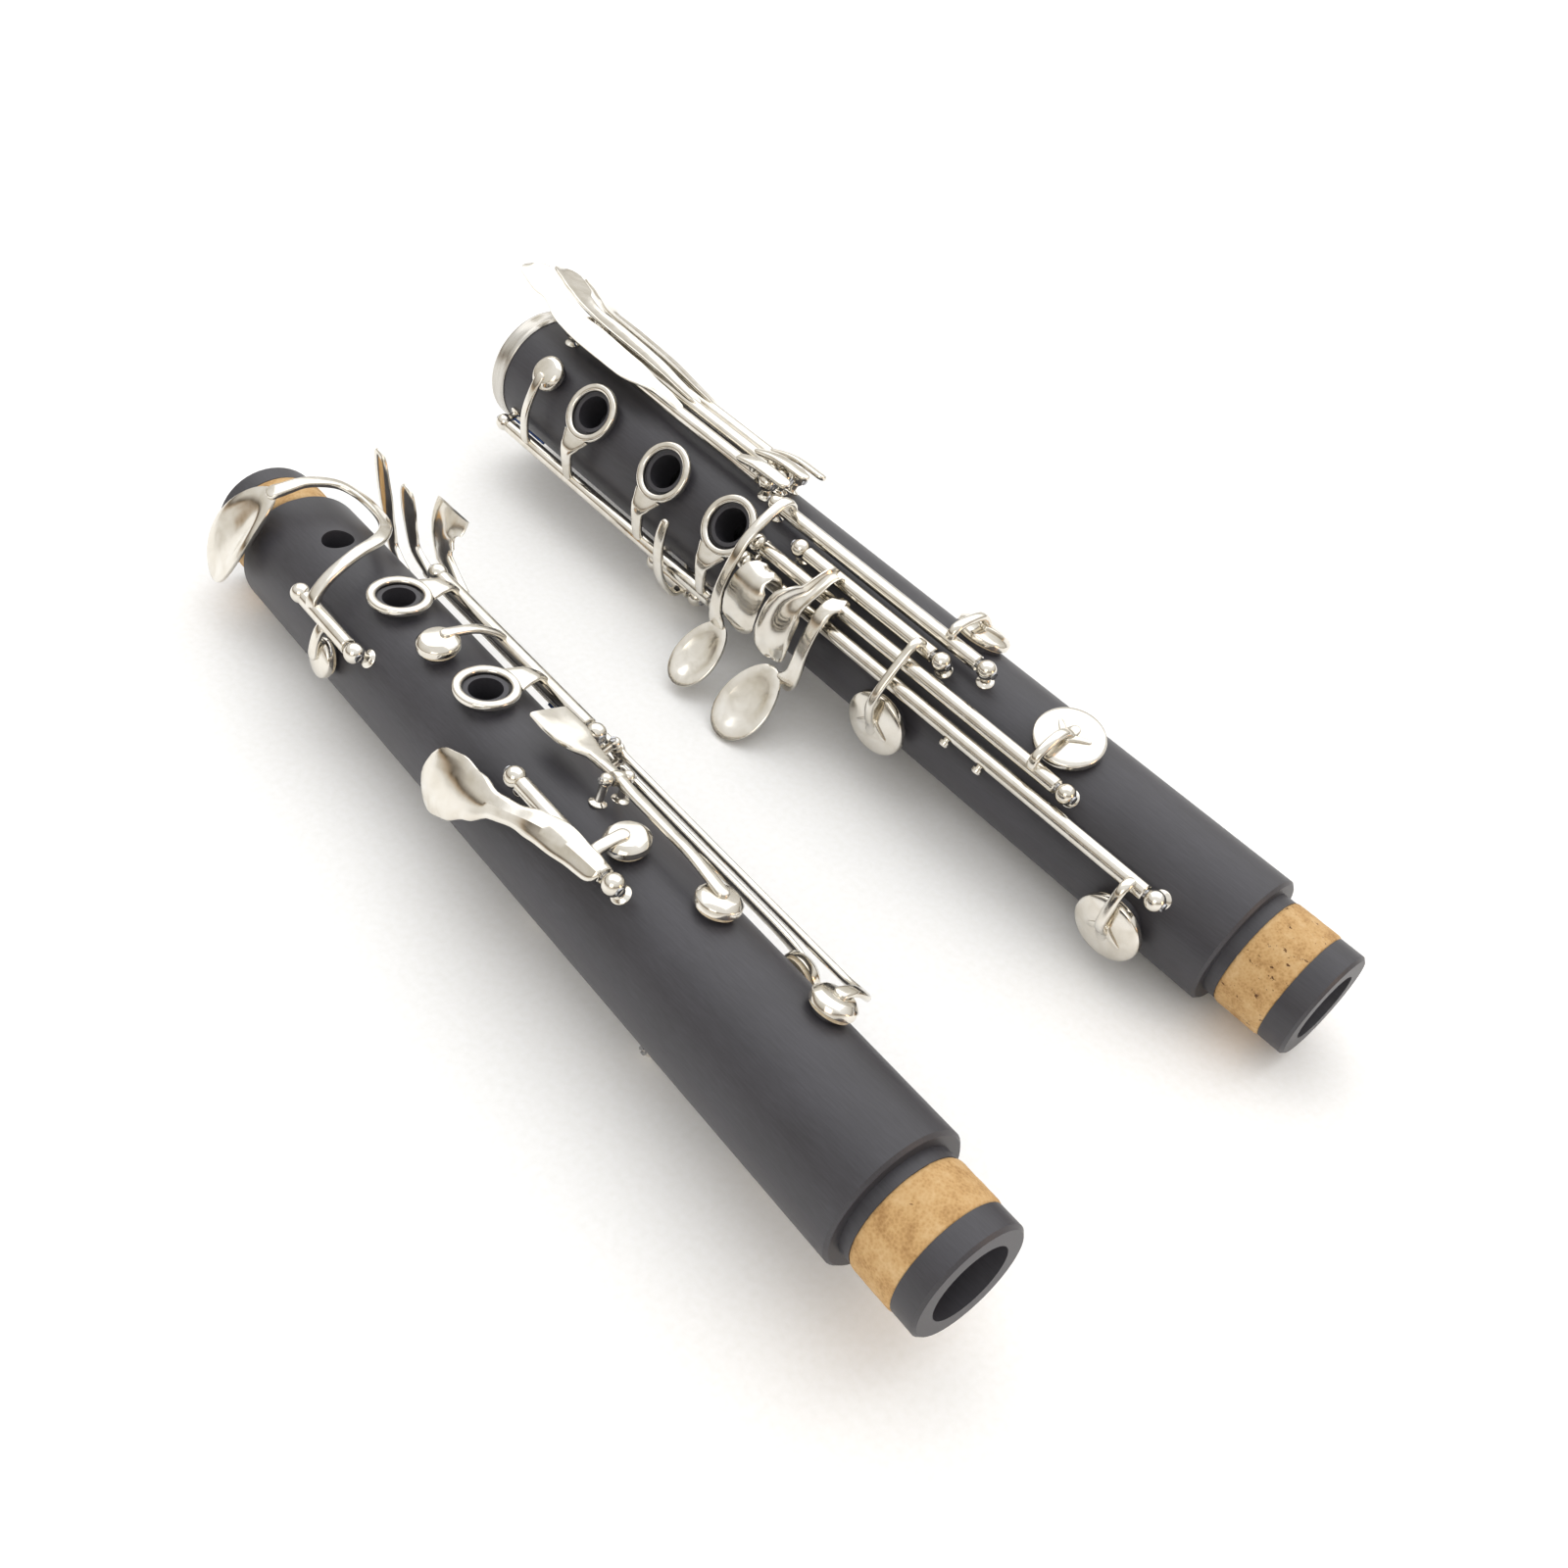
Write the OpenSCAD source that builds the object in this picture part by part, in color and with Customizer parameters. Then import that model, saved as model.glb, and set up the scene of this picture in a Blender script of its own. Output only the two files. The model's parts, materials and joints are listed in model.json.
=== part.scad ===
// Upper and lower joint of a Boehm clarinet, taken apart and lying side by side on a flat surface.
// Millimetres, +Z up. The origin is the centre of the lower joint's socket mouth and +X runs towards
// its bell tenon. Each joint is built along its own x axis with its tone holes on +z and the player's
// left on +y, and is then laid down: angles called phi turn from the tone holes towards the left.

/* [Upper joint] */
// Length of the upper body between its two tenon shoulders
upper_len = 196; // [194:1:206]
// Outer diameter of the upper body
upper_d = 27.4; // [27:0.2:28.6]
// Length of the tenon that enters the barrel
barrel_tenon_len = 16.5; // [14:0.5:19]
// Diameter of the tenon that enters the barrel
barrel_tenon_d = 22.2; // [21:0.1:23]
// Length of the tenon that enters the lower joint
middle_tenon_len = 17; // [14:0.5:18]

/* [Lower joint] */
// Length of the lower body from socket mouth to bell shoulder
lower_len = 226; // [224:1:236]
// Outer diameter of the lower body
lower_d = 28.8; // [28.4:0.2:30]
// Depth of the socket that takes the upper joint
socket_depth = 17.6; // [17.4:0.1:20]
// Diameter of that socket
socket_d = 23.6; // [22.8:0.1:24]
// Length of the tenon that enters the bell
bell_tenon_len = 18.5; // [16:0.5:20]
// Diameter of the tenon that enters the bell
bell_tenon_d = 23.4; // [22.6:0.1:24.4]
// Width of the metal ring round the socket mouth
ring_w = 5; // [4:0.5:7]
// Wall of that ring
ring_wall = 1; // [0.8:0.1:1.4]

/* [Bore and tone holes] */
// Diameter of the bore through both bodies
bore_d = 14.8; // [14:0.1:15.4]
// Diameter of the finger holes of the upper joint
upper_hole_d = 6.6; // [5.6:0.1:7]
// Diameter of the finger holes of the lower joint
lower_hole_d = 8; // [7:0.1:8.4]
// Diameter of a tone hole under a small pad
small_hole_d = 3.6; // [3:0.1:4.2]
// Diameter of a tone hole under a large pad
large_hole_d = 8.6; // [7.5:0.1:9.4]

/* [Keywork] */
// Outer diameter of the hinge tubes
tube_d = 3.4; // [3:0.1:3.6]
// Diameter of the steel rods in the hinge tubes
rod_d = 1.8; // [1.5:0.1:2]
// Diameter of the balls on top of the posts
ball_d = 4.2; // [4:0.1:4.4]
// Height of a hinge line above the body
hinge_lift = 3.8; // [3.6:0.1:4.2]
// Diameter of the small pad cups
small_cup_d = 8.4; // [7.6:0.1:8.8]
// Diameter of the large pad cups
large_cup_d = 14.6; // [13:0.2:15]
// Width of a finger ring from inner to outer edge
ring_band = 1.3; // [1:0.1:1.5]
// Thickness of the arms and levers
arm_t = 1.5; // [1.2:0.1:1.6]
// Width of the arms and levers
arm_w = 2.4; // [2:0.1:2.6]
// Thickness of the touch plates
plate_t = 1.4; // [1:0.1:1.6]
// Thickness of the cork on the tenons
cork_t = 1.2; // [0.9:0.1:1.4]

/* [Rest pose] */
// Turn of the lower joint's tone holes from straight up
lower_roll = 49; // [47:1:51]
// Distance between the two joints' axes, at the upper joint's barrel end
joint_pitch = 98; // [90:1:120]
// Angle between the two joints, seen from above
joint_yaw = 4; // [0:0.5:6]
// How far the upper joint's barrel shoulder lies short of the bell shoulder
joint_stagger = 0; // [-10:1:40]

/* [Hidden] */
$fn = 48;
upper_r = upper_d / 2;
lower_r = lower_d / 2;
bore_r = bore_d / 2;
tube_r = tube_d / 2;
rod_r = rod_d / 2;
ball_r = ball_d / 2;
bevel = 0.6;
cut = 1;
// Fits: rod in tube, ball to tube end, stem in its hole, ring round chimney, pad over its seat,
// arms over the balls of the posts, and cork past the tenon's full size
run_gap = 0.05;
end_gap = 0.15;
stem_gap = 0.02;
ring_gap = 0.6;
pad_gap = 0.12;
over_gap = 0.3;
cork_proud = 0.25;
stem_r = 1.1;
stem_depth = 2.6;
seat_lift = 0.5;
seat_wall = 1;
// Finger rings: rise of the chimney above the body and height of the ring
chimney_rise = 1.6;
chimney_wall = 0.9;
ring_h = 1.6;
ring_rest_turn = 3;
// Pad cups: pad thickness, depth it sits in the cup and rise of the domed back
pad_t = 1.6;
cup_lip = 0.6;
cup_h = 2.3;
cup_dome = 0.7;
cup_wall = 0.5;
stalk_r = 1;
// How far an arm runs past what it joins, in degrees
arm_end = 4;
spring_r = 0.3;
spring_len = 12;
upper_line = upper_r + hinge_lift;
lower_line = lower_r + hinge_lift;
// Levels at which the lower joint's arms pass over hinge tubes and post balls: still ones, ones that
// press down on the tube below, and the right hand's upper oval touch
lower_over = lower_line + ball_r + over_gap;
press_over = lower_over + 0.6;
high_over = lower_over + 1.7;
small_cup_r = small_cup_d / 2;
large_cup_r = large_cup_d / 2;
middle_tenon_d = socket_d - 0.2;

// Upper joint: places along the body from the barrel shoulder
ring1_x = 119;
ring2_x = 152;
hole3_x = 178;
upper_vent_x = 134;
upper_vent_phi = 6;
upper_ring_phi = -48;
upper_ring_x0 = 104;
upper_ring_x1 = 158;
thumb_x = 90;
thumb_phi = -146;
thumb_x0 = 80;
thumb_x1 = 100;
csharp_phi = 50;
csharp_x0 = 147;
csharp_x1 = 165;
csharp_pad_x = (csharp_x0 + csharp_x1) / 2;
csharp_pad_phi = csharp_phi + 27;
// Its arm runs round hole 3 on the right to an oval touch that lies past the shoulder on the left
csharp_over = upper_line + 0.6;
csharp_cross_x = csharp_x1 - 1.6;
csharp_side_phi = -32;
csharp_loop_x = upper_len - 4;
// Touch: [angle, place along the body, rise, diameter] of its root, its crown and its tip
csharp_touch = [[20, csharp_loop_x, 0, 4], [38, upper_len + 1, 1.2, 12], [62, upper_len + 1, 0.8, 12]];
gsharp_phi = 28;
gsharp_x0 = 67;
gsharp_x1 = 93;
gsharp_pad_x = 72;
gsharp_pad_phi = 2;
a_phi = -17;
a_pivot_x = 84;
a_pad_x = 53;
a_touch_x = 98;
register_x = 54;
register_vent_x = 22;
register_turn = 17;
// Side keys: [angle, pivot, pad, end of lever, angle of the pad]
side_keys = [[-68, 100, 27, 166, -30], [-86, 108, 42, 181, -86], [-104, 116, 74, 192, -104],
             [-122, 124, 98, 176, -122]];
// Their leaf touches stand upright: [angle, rise over the lever, diameter, length past the lever]
side_leaves = [[-51, 4.6, 7, 8], [-51, 5.3, 6, 3], [-46, 7, 5.5, 4], [-122, 0.5, 4.5, 5]];
side_line = upper_line + 1;
side_lift = side_line - upper_r;
thumb_line = upper_line - 0.4;
// Posts and pin of a key that rocks across the body
pivot_half = 2.5;
pivot_post_r = 0.9;
pivot_ball_r = pivot_post_r + 0.35;
pin_r = 0.6;
bush_r = upper_hole_d / 2 + chimney_wall;
upper_vents = concat([[upper_vent_phi, upper_vent_x], [csharp_pad_phi, csharp_pad_x],
                      [gsharp_pad_phi, gsharp_pad_x], [a_phi, a_pad_x], [180, register_vent_x]],
                     [for (k = side_keys) [k[4], k[2]]]);
upper_hinges = [[upper_ring_x0, upper_ring_x1, upper_ring_phi, upper_line],
                [thumb_x0, thumb_x1, thumb_phi, thumb_line],
                [csharp_x0, csharp_x1, csharp_phi, upper_line],
                [gsharp_x0, gsharp_x1, gsharp_phi, upper_line]];
core_inset = 0.15;

// Lower joint: places along the body from the socket mouth
lower_rings = [37, 64, 87];
lower_vent_x = 20;
lower_vent_phi = 3;
lower_ring_phi = -62;
lower_ring_x0 = 12;
lower_ring_x1 = 90;
sliver_phi = -92;
sliver_x0 = 67;
sliver_x1 = 78;
sliver_pad_x = (sliver_x0 + sliver_x1) / 2;
sliver_pad_phi = -112;
sliver_seat = lower_r - 0.8;
sliver_cup_r = 3.6;
sliver_line = lower_line + 0.6;
// Little-finger keys of the right hand: hinge line and reach
e_phi = -12;
e_x0 = 99;
e_x1 = 210;
ab_phi = 3;
ab_x0 = 99;
ab_x1 = 184;
f_phi = 18;
f_x0 = 108;
f_x1 = 146;
fs_phi = 33;
fs_x0 = 95;
fs_x1 = 154;
e_pad_x = 207;
e_pad_phi = -52;
f_pad_x = 143;
f_pad_phi = -48;
ab_pad_x = 178;
ab_pad_phi = 36;
fs_pad_x = 146;
fs_pad_phi = 72;
fs_cup_r = small_cup_r + 2;
// How far the normally open pads stand open at rest, in degrees
e_open = 7;
f_open = 5;
// Tall touches over the right hand's hinge lines, and oval touches that hang beside the body
wave_w = 9;
wave_phi0 = -46;
wave_rise = 2;
e_touch_x = e_x0 + 5;
f_touch_x = e_touch_x + wave_w + 2;
ab_arm_x = f_touch_x + wave_w / 2 + 2.9;
fs_arm_x = fs_x0 + 2.2;
oval_phi = -57;
ab_oval_w = 13;
fs_oval_w = 11;
fs_oval_len = 17;
// The ovals lie in one plane that leans away from the body: angle of its normal, distance from the
// axis, and where on it the ovals begin
oval_turn = 5;
oval_h = 11.2;
oval_start = 19.2;
// Levers of the left hand: hinge angles and reach
lever_phi = [42, 58, 74];
lever_x0 = 17;
lever_x1 = 84;
foot_reach = 9;
lower_seats = [[e_pad_phi, e_pad_x], [f_pad_phi, f_pad_x], [ab_pad_phi, ab_pad_x],
               [fs_pad_phi, fs_pad_x]];
lower_hinges = concat([[lower_ring_x0, lower_ring_x1, lower_ring_phi, lower_line],
                       [sliver_x0, sliver_x1, sliver_phi, sliver_line],
                       [e_x0, e_x1, e_phi, lower_line],
                       [ab_x0, ab_x1, ab_phi, lower_line],
                       [f_x0, f_x1, f_phi, lower_line],
                       [fs_x0, fs_x1, fs_phi, lower_line]],
                      [for (p = lever_phi) [lever_x0, lever_x1, p, lower_line]]);

// Thumb rest: a foot plate screwed to the back and a hooked shelf for the right thumb
rest_x = 73;
rest_w = 12;
rest_t = 1.8;
rest_tall = 9;
rest_foot_t = 1.6;
rest_foot_len = 12;
rest_shelf = 4;
rest_seat = lower_r + 0.1;
rest_reach = lower_r + rest_tall;
rest_screw_x = [rest_x - 9, rest_x - 4];
rest_screw_r = 0.9;
rest_head_r = 1.8;
rest_head_h = 0.8;
rest_screw_depth = 4;
post_reach = ball_r + end_gap;
// How far a rod or pin shows past the ball that holds it
rod_show = 0.15;
rod_over = post_reach + ball_r + rod_show;
// How the joints lie: the lower one rests on a corner of its thumb rest, the tip of the A-flat
// oval and its bell end, the upper one on the register key's posts and its lower end
rest_low = rest_reach * cos(lower_roll) + rest_w / 2 * sin(lower_roll);
bell_edge = lower_len - bevel;
lower_tilt = atan((rest_low - lower_r) / (bell_edge - rest_x - rest_t));
floor_z = -bell_edge * sin(lower_tilt) - lower_r * cos(lower_tilt);
register_drop = upper_line * cos(register_turn) + ball_r;
upper_edge = upper_len - bevel;
upper_tilt = asin((register_drop - upper_r) / (upper_edge - register_x));
upper_pos = [lower_len - joint_stagger, -joint_pitch,
             floor_z + upper_edge * sin(upper_tilt) + upper_r * cos(upper_tilt)];
ab_oval_x = ab_arm_x - 6;
ab_oval_drop = lower_r + (bell_edge - ab_oval_x) * tan(lower_tilt);
ab_oval_tip = (ab_oval_drop + oval_h * cos(lower_roll - oval_turn)) / sin(lower_roll - oval_turn);

// Places a joint in the shared frame
module lay_lower() {
    rotate([0, lower_tilt, 0]) rotate([lower_roll, 0, 0]) children();
}
module lay_upper() {
    translate(upper_pos) rotate([0, 0, 180 - joint_yaw]) rotate([0, upper_tilt, 0]) children();
}

// A place at angle phi, distance r from the axis and x along it, with z pointing outwards
module at(phi, r, x) {
    translate([x, 0, 0]) rotate([-phi, 0, 0]) translate([0, 0, r]) children();
}

// Round bar along x
module bar_x(x0, x1, r) {
    translate([x0, 0, 0]) rotate([0, 90, 0]) cylinder(r = r, h = x1 - x0);
}

// Hinge tube on a line parallel to the body, bored for its rod
module hinge_tube(x0, x1, phi, line) {
    difference() {
        at(phi, line, 0) bar_x(x0, x1, tube_r);
        tube_bore(x0, x1, phi, line);
    }
}
module tube_bore(x0, x1, phi, line) {
    at(phi, line, 0) bar_x(x0 - cut, x1 + cut, rod_r + run_gap);
}

// Flat strap bent round the body from phi0 to phi1
module hoop(x, w, phi0, phi1, r_in, t) {
    rotate([0, 90, 0]) rotate([0, 0, 180 - phi1]) rotate_extrude(angle = phi1 - phi0, $fn = 96)
        translate([r_in, x - w / 2]) square([t, w]);
}

// Flat lever along the body
module rail(x0, x1, phi, r_in, w = arm_w, t = arm_t) {
    at(phi, r_in, x0) translate([0, -w / 2, 0]) cube([x1 - x0, w, t]);
}

// Flat strut in a cross-section, from one place to another
module strut(x, w, phi0, r0, phi1, r1, t = arm_t) {
    p = [r0 * sin(phi0), r0 * cos(phi0)];
    q = [r1 * sin(phi1), r1 * cos(phi1)];
    turn = atan2(q.y - p.y, q.x - p.x);
    translate([x - w / 2, p.x, p.y]) rotate([turn, 0, 0]) translate([0, 0, -t / 2])
        cube([w, norm(q - p), t]);
}

// Swings a key about its hinge line
module swing(phi, line, turn) {
    translate([0, line * sin(phi), line * cos(phi)]) rotate([turn, 0, 0])
        translate([0, -line * sin(phi), -line * cos(phi)]) children();
}

// Domed pad cup over a seat and the pad in it
module cup(phi, x, seat, r) {
    at(phi, seat + pad_gap, x) rotate_extrude()
        polygon([[0, pad_t], [r - cup_wall, pad_t], [r - cup_wall, cup_lip], [r, cup_lip],
                 [r, cup_h - cup_lip], [r - cup_wall, cup_h], [r * 0.5, cup_h + cup_dome * 0.7],
                 [r * 0.2, cup_h + cup_dome], [0, cup_h + cup_dome]]);
}
module pad(phi, x, seat, r) {
    at(phi, seat + pad_gap, x) cylinder(r = r - cup_wall - stem_gap, h = pad_t);
}

// Post with a ball head on a stem that is driven into the body
module post(phi, x, line, body_r) {
    at(phi, 0, x) translate([0, 0, body_r - stem_depth]) cylinder(r = stem_r, h = line - body_r + stem_depth);
    at(phi, line, x) sphere(r = ball_r);
}
module stem_hole(phi, x, body_r) {
    at(phi, body_r - stem_depth - stem_gap, x) cylinder(r = stem_r + stem_gap, h = stem_depth + 2 * cut);
}

// Tone hole, its raised seat and the chimney that a finger ring drops over
module hole(phi, x, r, top) {
    at(phi, 0, x) cylinder(r = r, h = top + cut);
}
module seat(phi, x, r, body_r) {
    at(phi, body_r - 2, x) cylinder(r = r + seat_wall, h = 2 + seat_lift);
}
module chimney(x, r, body_r, phi = 0) {
    at(phi, body_r - 2, x) cylinder(r = r + chimney_wall, h = 2 + chimney_rise);
}
module finger_ring(x, r, body_r, phi = 0) {
    inner = r + chimney_wall + ring_gap;
    at(phi, body_r + chimney_rise - ring_h, x) difference() {
        cylinder(r = inner + ring_band, h = ring_h);
        translate([0, 0, -cut]) cylinder(r = inner, h = ring_h + 2 * cut);
    }
}
function ring_out(r) = r + chimney_wall + ring_gap + ring_band;

// Turned tenon: neck, cork groove and tip, from x = 0 outwards, and the cork in it
module tenon(len, r) {
    tip = len * 0.3;
    neck = len * 0.14;
    rotate([0, 90, 0]) rotate_extrude($fn = 96)
        polygon([[0, -cut], [r, -cut], [r, neck], [r - cork_t, neck], [r - cork_t, len - tip],
                 [r, len - tip], [r, len - bevel], [r - bevel, len], [0, len]]);
}
module tenon_cork(len, r) {
    tip = len * 0.3;
    neck = len * 0.14;
    rotate([0, 90, 0]) rotate_extrude($fn = 96)
        translate([r - cork_t, neck]) square([cork_t + cork_proud, len - tip - neck]);
}
module body_stock(len, r) {
    rotate([0, 90, 0]) rotate_extrude($fn = 128)
        polygon([[0, 0], [r - bevel, 0], [r, bevel], [r, len - bevel], [r - bevel, len], [0, len]]);
}

// ---- Upper joint ----

module each_upper_pivot() {
    for (k = side_keys) for (s = [-1, 1]) at(k[0], 0, k[1]) translate([0, s * pivot_half, 0]) children();
    for (s = [-1, 1]) at(a_phi, 0, a_pivot_x) translate([0, s * pivot_half, 0]) children();
}
module upper_post_holes() {
    for (h = upper_hinges) for (x = [h[0] - post_reach, h[1] + post_reach]) stem_hole(h[2], x, upper_r);
    for (s = [-1, 1]) stem_hole(180 + s * register_turn, register_x, upper_r);
    each_upper_pivot() translate([0, 0, upper_r - stem_depth - stem_gap])
        cylinder(r = pivot_post_r + stem_gap, h = stem_depth + 2 * cut);
}

module upper_body() {
    color("#3a3b3e") lay_upper() difference() {
        union() {
            body_stock(upper_len, upper_r);
            rotate([0, 0, 180]) tenon(barrel_tenon_len, barrel_tenon_d / 2);
            translate([upper_len, 0, 0]) tenon(middle_tenon_len, middle_tenon_d / 2);
            for (x = [ring1_x, ring2_x]) chimney(x, upper_hole_d / 2, upper_r);
            for (v = upper_vents) seat(v[0], v[1], small_hole_d / 2, upper_r);
        }
        bar_x(-barrel_tenon_len - cut, upper_len + middle_tenon_len + cut, bore_r);
        for (x = [ring1_x, ring2_x, hole3_x]) hole(0, x, upper_hole_d / 2, upper_r + chimney_rise);
        hole(180, thumb_x, bush_r, upper_r + cut);
        for (v = upper_vents) hole(v[0], v[1], small_hole_d / 2, upper_r);
        upper_post_holes();
    }
}

module barrel_tenon_cork() {
    color("#d2a86a") lay_upper() rotate([0, 0, 180]) tenon_cork(barrel_tenon_len, barrel_tenon_d / 2);
}
module middle_tenon_cork() {
    color("#d2a86a") lay_upper() translate([upper_len, 0, 0])
        tenon_cork(middle_tenon_len, middle_tenon_d / 2);
}

// Hard-rubber bush of the thumb hole, which stands proud so that the ring can drop over it
module thumb_bush() {
    color("#1c1c1d") lay_upper() at(180, 0, thumb_x) difference() {
        translate([0, 0, bore_r + 0.6]) cylinder(r = bush_r, h = upper_r - bore_r + chimney_rise - 0.8);
        cylinder(r = upper_hole_d / 2, h = upper_r + 2 * chimney_rise);
    }
}

module upper_posts() {
    color("#c9c6bd") lay_upper() difference() {
        union() {
            for (h = upper_hinges) for (x = [h[0] - post_reach, h[1] + post_reach]) post(h[2], x, h[3], upper_r);
            for (s = [-1, 1]) post(180 + s * register_turn, register_x, upper_line, upper_r);
            each_upper_pivot() {
                translate([0, 0, upper_r - stem_depth])
                    cylinder(r = pivot_post_r, h = side_lift + stem_depth + 0.4);
                translate([0, 0, side_line]) sphere(r = pivot_ball_r);
            }
        }
        upper_rod_space(rod_r + 0.01);
    }
}

// Rods of the keys parallel to the body and pins of the keys that rock across it
module upper_rod_space(r) {
    for (h = upper_hinges) at(h[2], h[3], 0) bar_x(h[0] - rod_over, h[1] + rod_over, r);
    register_pin(r);
    for (k = side_keys) rocker_pin(k[0], k[1], min(r, pin_r + r - rod_r));
    rocker_pin(a_phi, a_pivot_x, min(r, pin_r + r - rod_r));
}
module register_pin(r) {
    half = upper_line * sin(register_turn) + ball_r + rod_show;
    at(180, upper_line * cos(register_turn), register_x) translate([0, -half, 0])
        rotate([-90, 0, 0]) cylinder(r = r, h = 2 * half);
}
module rocker_pin(phi, x, r) {
    half = pivot_half + pivot_ball_r + rod_show;
    at(phi, side_line, x) translate([0, -half, 0]) rotate([-90, 0, 0]) cylinder(r = r, h = 2 * half, $fn = 24);
}
module upper_rods() {
    color("#9a9da1") lay_upper() upper_rod_space(rod_r);
}

// Needle springs, driven into the posts and lying under the hinge tubes
module needle(h, body_r) {
    at(h[2], h[3] - tube_r - 0.4 - spring_r, 0)
        bar_x(h[0] - post_reach + stem_r, h[0] - post_reach + stem_r + spring_len, spring_r, $fn = 16);
}
module upper_springs() {
    color("#4d5a78") lay_upper() for (h = upper_hinges) needle(h, upper_r);
}

module upper_ring_key() {
    r = upper_hole_d / 2;
    edge = ring_out(r) - 0.5;
    top = upper_r + chimney_rise - ring_h / 2;
    color("#c9c6bd") lay_upper() swing(upper_ring_phi, upper_line, ring_rest_turn) difference() {
        union() {
            hinge_tube(upper_ring_x0, upper_ring_x1, upper_ring_phi, upper_line);
            for (x = [ring1_x, ring2_x]) {
                finger_ring(x, r, upper_r);
                strut(x, arm_w, upper_ring_phi, upper_line, -atan2(edge, top), norm([edge, top]));
            }
            cup(upper_vent_phi, upper_vent_x, upper_r + seat_lift, small_cup_r);
            hoop(upper_vent_x, arm_w, upper_ring_phi, upper_vent_phi + arm_end,
                 upper_r + seat_lift + cup_h, arm_t);
        }
        tube_bore(upper_ring_x0, upper_ring_x1, upper_ring_phi, upper_line);
    }
}
module upper_ring_vent_pad() {
    color("#e8dcc0") lay_upper() swing(upper_ring_phi, upper_line, ring_rest_turn)
        pad(upper_vent_phi, upper_vent_x, upper_r + seat_lift, small_cup_r);
}

module thumb_ring_key() {
    r = upper_hole_d / 2;
    edge = ring_out(r) - 0.5;
    top = upper_r + chimney_rise - ring_h / 2;
    color("#c9c6bd") lay_upper() swing(thumb_phi, thumb_line, -ring_rest_turn) difference() {
        union() {
            hinge_tube(thumb_x0, thumb_x1, thumb_phi, thumb_line);
            finger_ring(thumb_x, r, upper_r, 180);
            strut(thumb_x, arm_w, thumb_phi, thumb_line, 180 + atan2(edge, top), norm([edge, top]));
        }
        tube_bore(thumb_x0, thumb_x1, thumb_phi, thumb_line);
    }
}

module csharp_key() {
    color("#c9c6bd") lay_upper() difference() {
        union() {
            hinge_tube(csharp_x0, csharp_x1, csharp_phi, upper_line);
            cup(csharp_pad_phi, csharp_pad_x, upper_r + seat_lift, small_cup_r);
            hoop(csharp_pad_x, arm_w, csharp_phi, csharp_pad_phi, upper_r + seat_lift + cup_h, arm_t);
            hoop(csharp_cross_x, arm_w, csharp_side_phi - arm_end, csharp_phi, csharp_over, arm_t);
            rail(csharp_cross_x - 1, csharp_loop_x + 1, csharp_side_phi, csharp_over);
            hoop(csharp_loop_x, arm_w, csharp_side_phi - arm_end, csharp_touch[0][0] + arm_end,
                 csharp_over, arm_t);
            hull() for (t = csharp_touch) at(t[0], csharp_over + t[2], t[1])
                cylinder(d = t[3], h = plate_t, $fn = 32);
        }
        tube_bore(csharp_x0, csharp_x1, csharp_phi, upper_line);
    }
}
module csharp_pad() {
    color("#e8dcc0") lay_upper() pad(csharp_pad_phi, csharp_pad_x, upper_r + seat_lift, small_cup_r);
}

module gsharp_key() {
    leaf = upper_line + 0.6;
    color("#c9c6bd") lay_upper() difference() {
        union() {
            hinge_tube(gsharp_x0, gsharp_x1, gsharp_phi, upper_line);
            cup(gsharp_pad_phi, gsharp_pad_x, upper_r + seat_lift, small_cup_r);
            hoop(gsharp_pad_x, arm_w, gsharp_pad_phi - arm_end, gsharp_phi,
                 upper_r + seat_lift + cup_h, arm_t);
            hoop((gsharp_x0 + gsharp_x1) / 2, 12, gsharp_phi - 2, gsharp_phi + 18, upper_line, arm_t);
            hull() {
                at(gsharp_phi + 15, leaf, gsharp_x1 - 8) cylinder(d = 5, h = plate_t, $fn = 32);
                at(gsharp_phi + 22, leaf, gsharp_x1 + 3) cylinder(d = 9, h = plate_t, $fn = 32);
            }
            hull() {
                at(gsharp_phi + 22, leaf, gsharp_x1 + 3) cylinder(d = 9, h = plate_t, $fn = 32);
                at(gsharp_phi + 34, leaf, gsharp_x1 + 15) cylinder(d = 12, h = plate_t, $fn = 32);
            }
        }
        tube_bore(gsharp_x0, gsharp_x1, gsharp_phi, upper_line);
    }
}
module gsharp_pad() {
    color("#e8dcc0") lay_upper() pad(gsharp_pad_phi, gsharp_pad_x, upper_r + seat_lift, small_cup_r);
}

// Rocking lever on a pin across its middle, with a pad cup at the far end
module rocker(phi, x_pivot, x_pad, pad_phi, x_touch) {
    base = side_line - arm_t / 2;
    join = upper_r + seat_lift + cup_h;
    half = pivot_half - pivot_post_r - 0.5;
    difference() {
        union() {
            rail(x_pad - 1.6, x_touch, phi, base);
            at(phi, side_line, x_pivot) translate([0, -half, 0])
                rotate([-90, 0, 0]) cylinder(r = pin_r + 0.8, h = 2 * half);
            if (pad_phi != phi) hoop(x_pad, arm_w, phi - arm_end, pad_phi + arm_end, base, arm_t);
            at(pad_phi, join, x_pad) cylinder(r = stalk_r, h = base - join + arm_t / 2, $fn = 32);
            cup(pad_phi, x_pad, upper_r + seat_lift, small_cup_r);
            children();
        }
        at(phi, side_line, x_pivot) translate([0, -half - cut, 0]) rotate([-90, 0, 0])
            cylinder(r = pin_r + run_gap, h = 2 * (half + cut), $fn = 24);
    }
}
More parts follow.
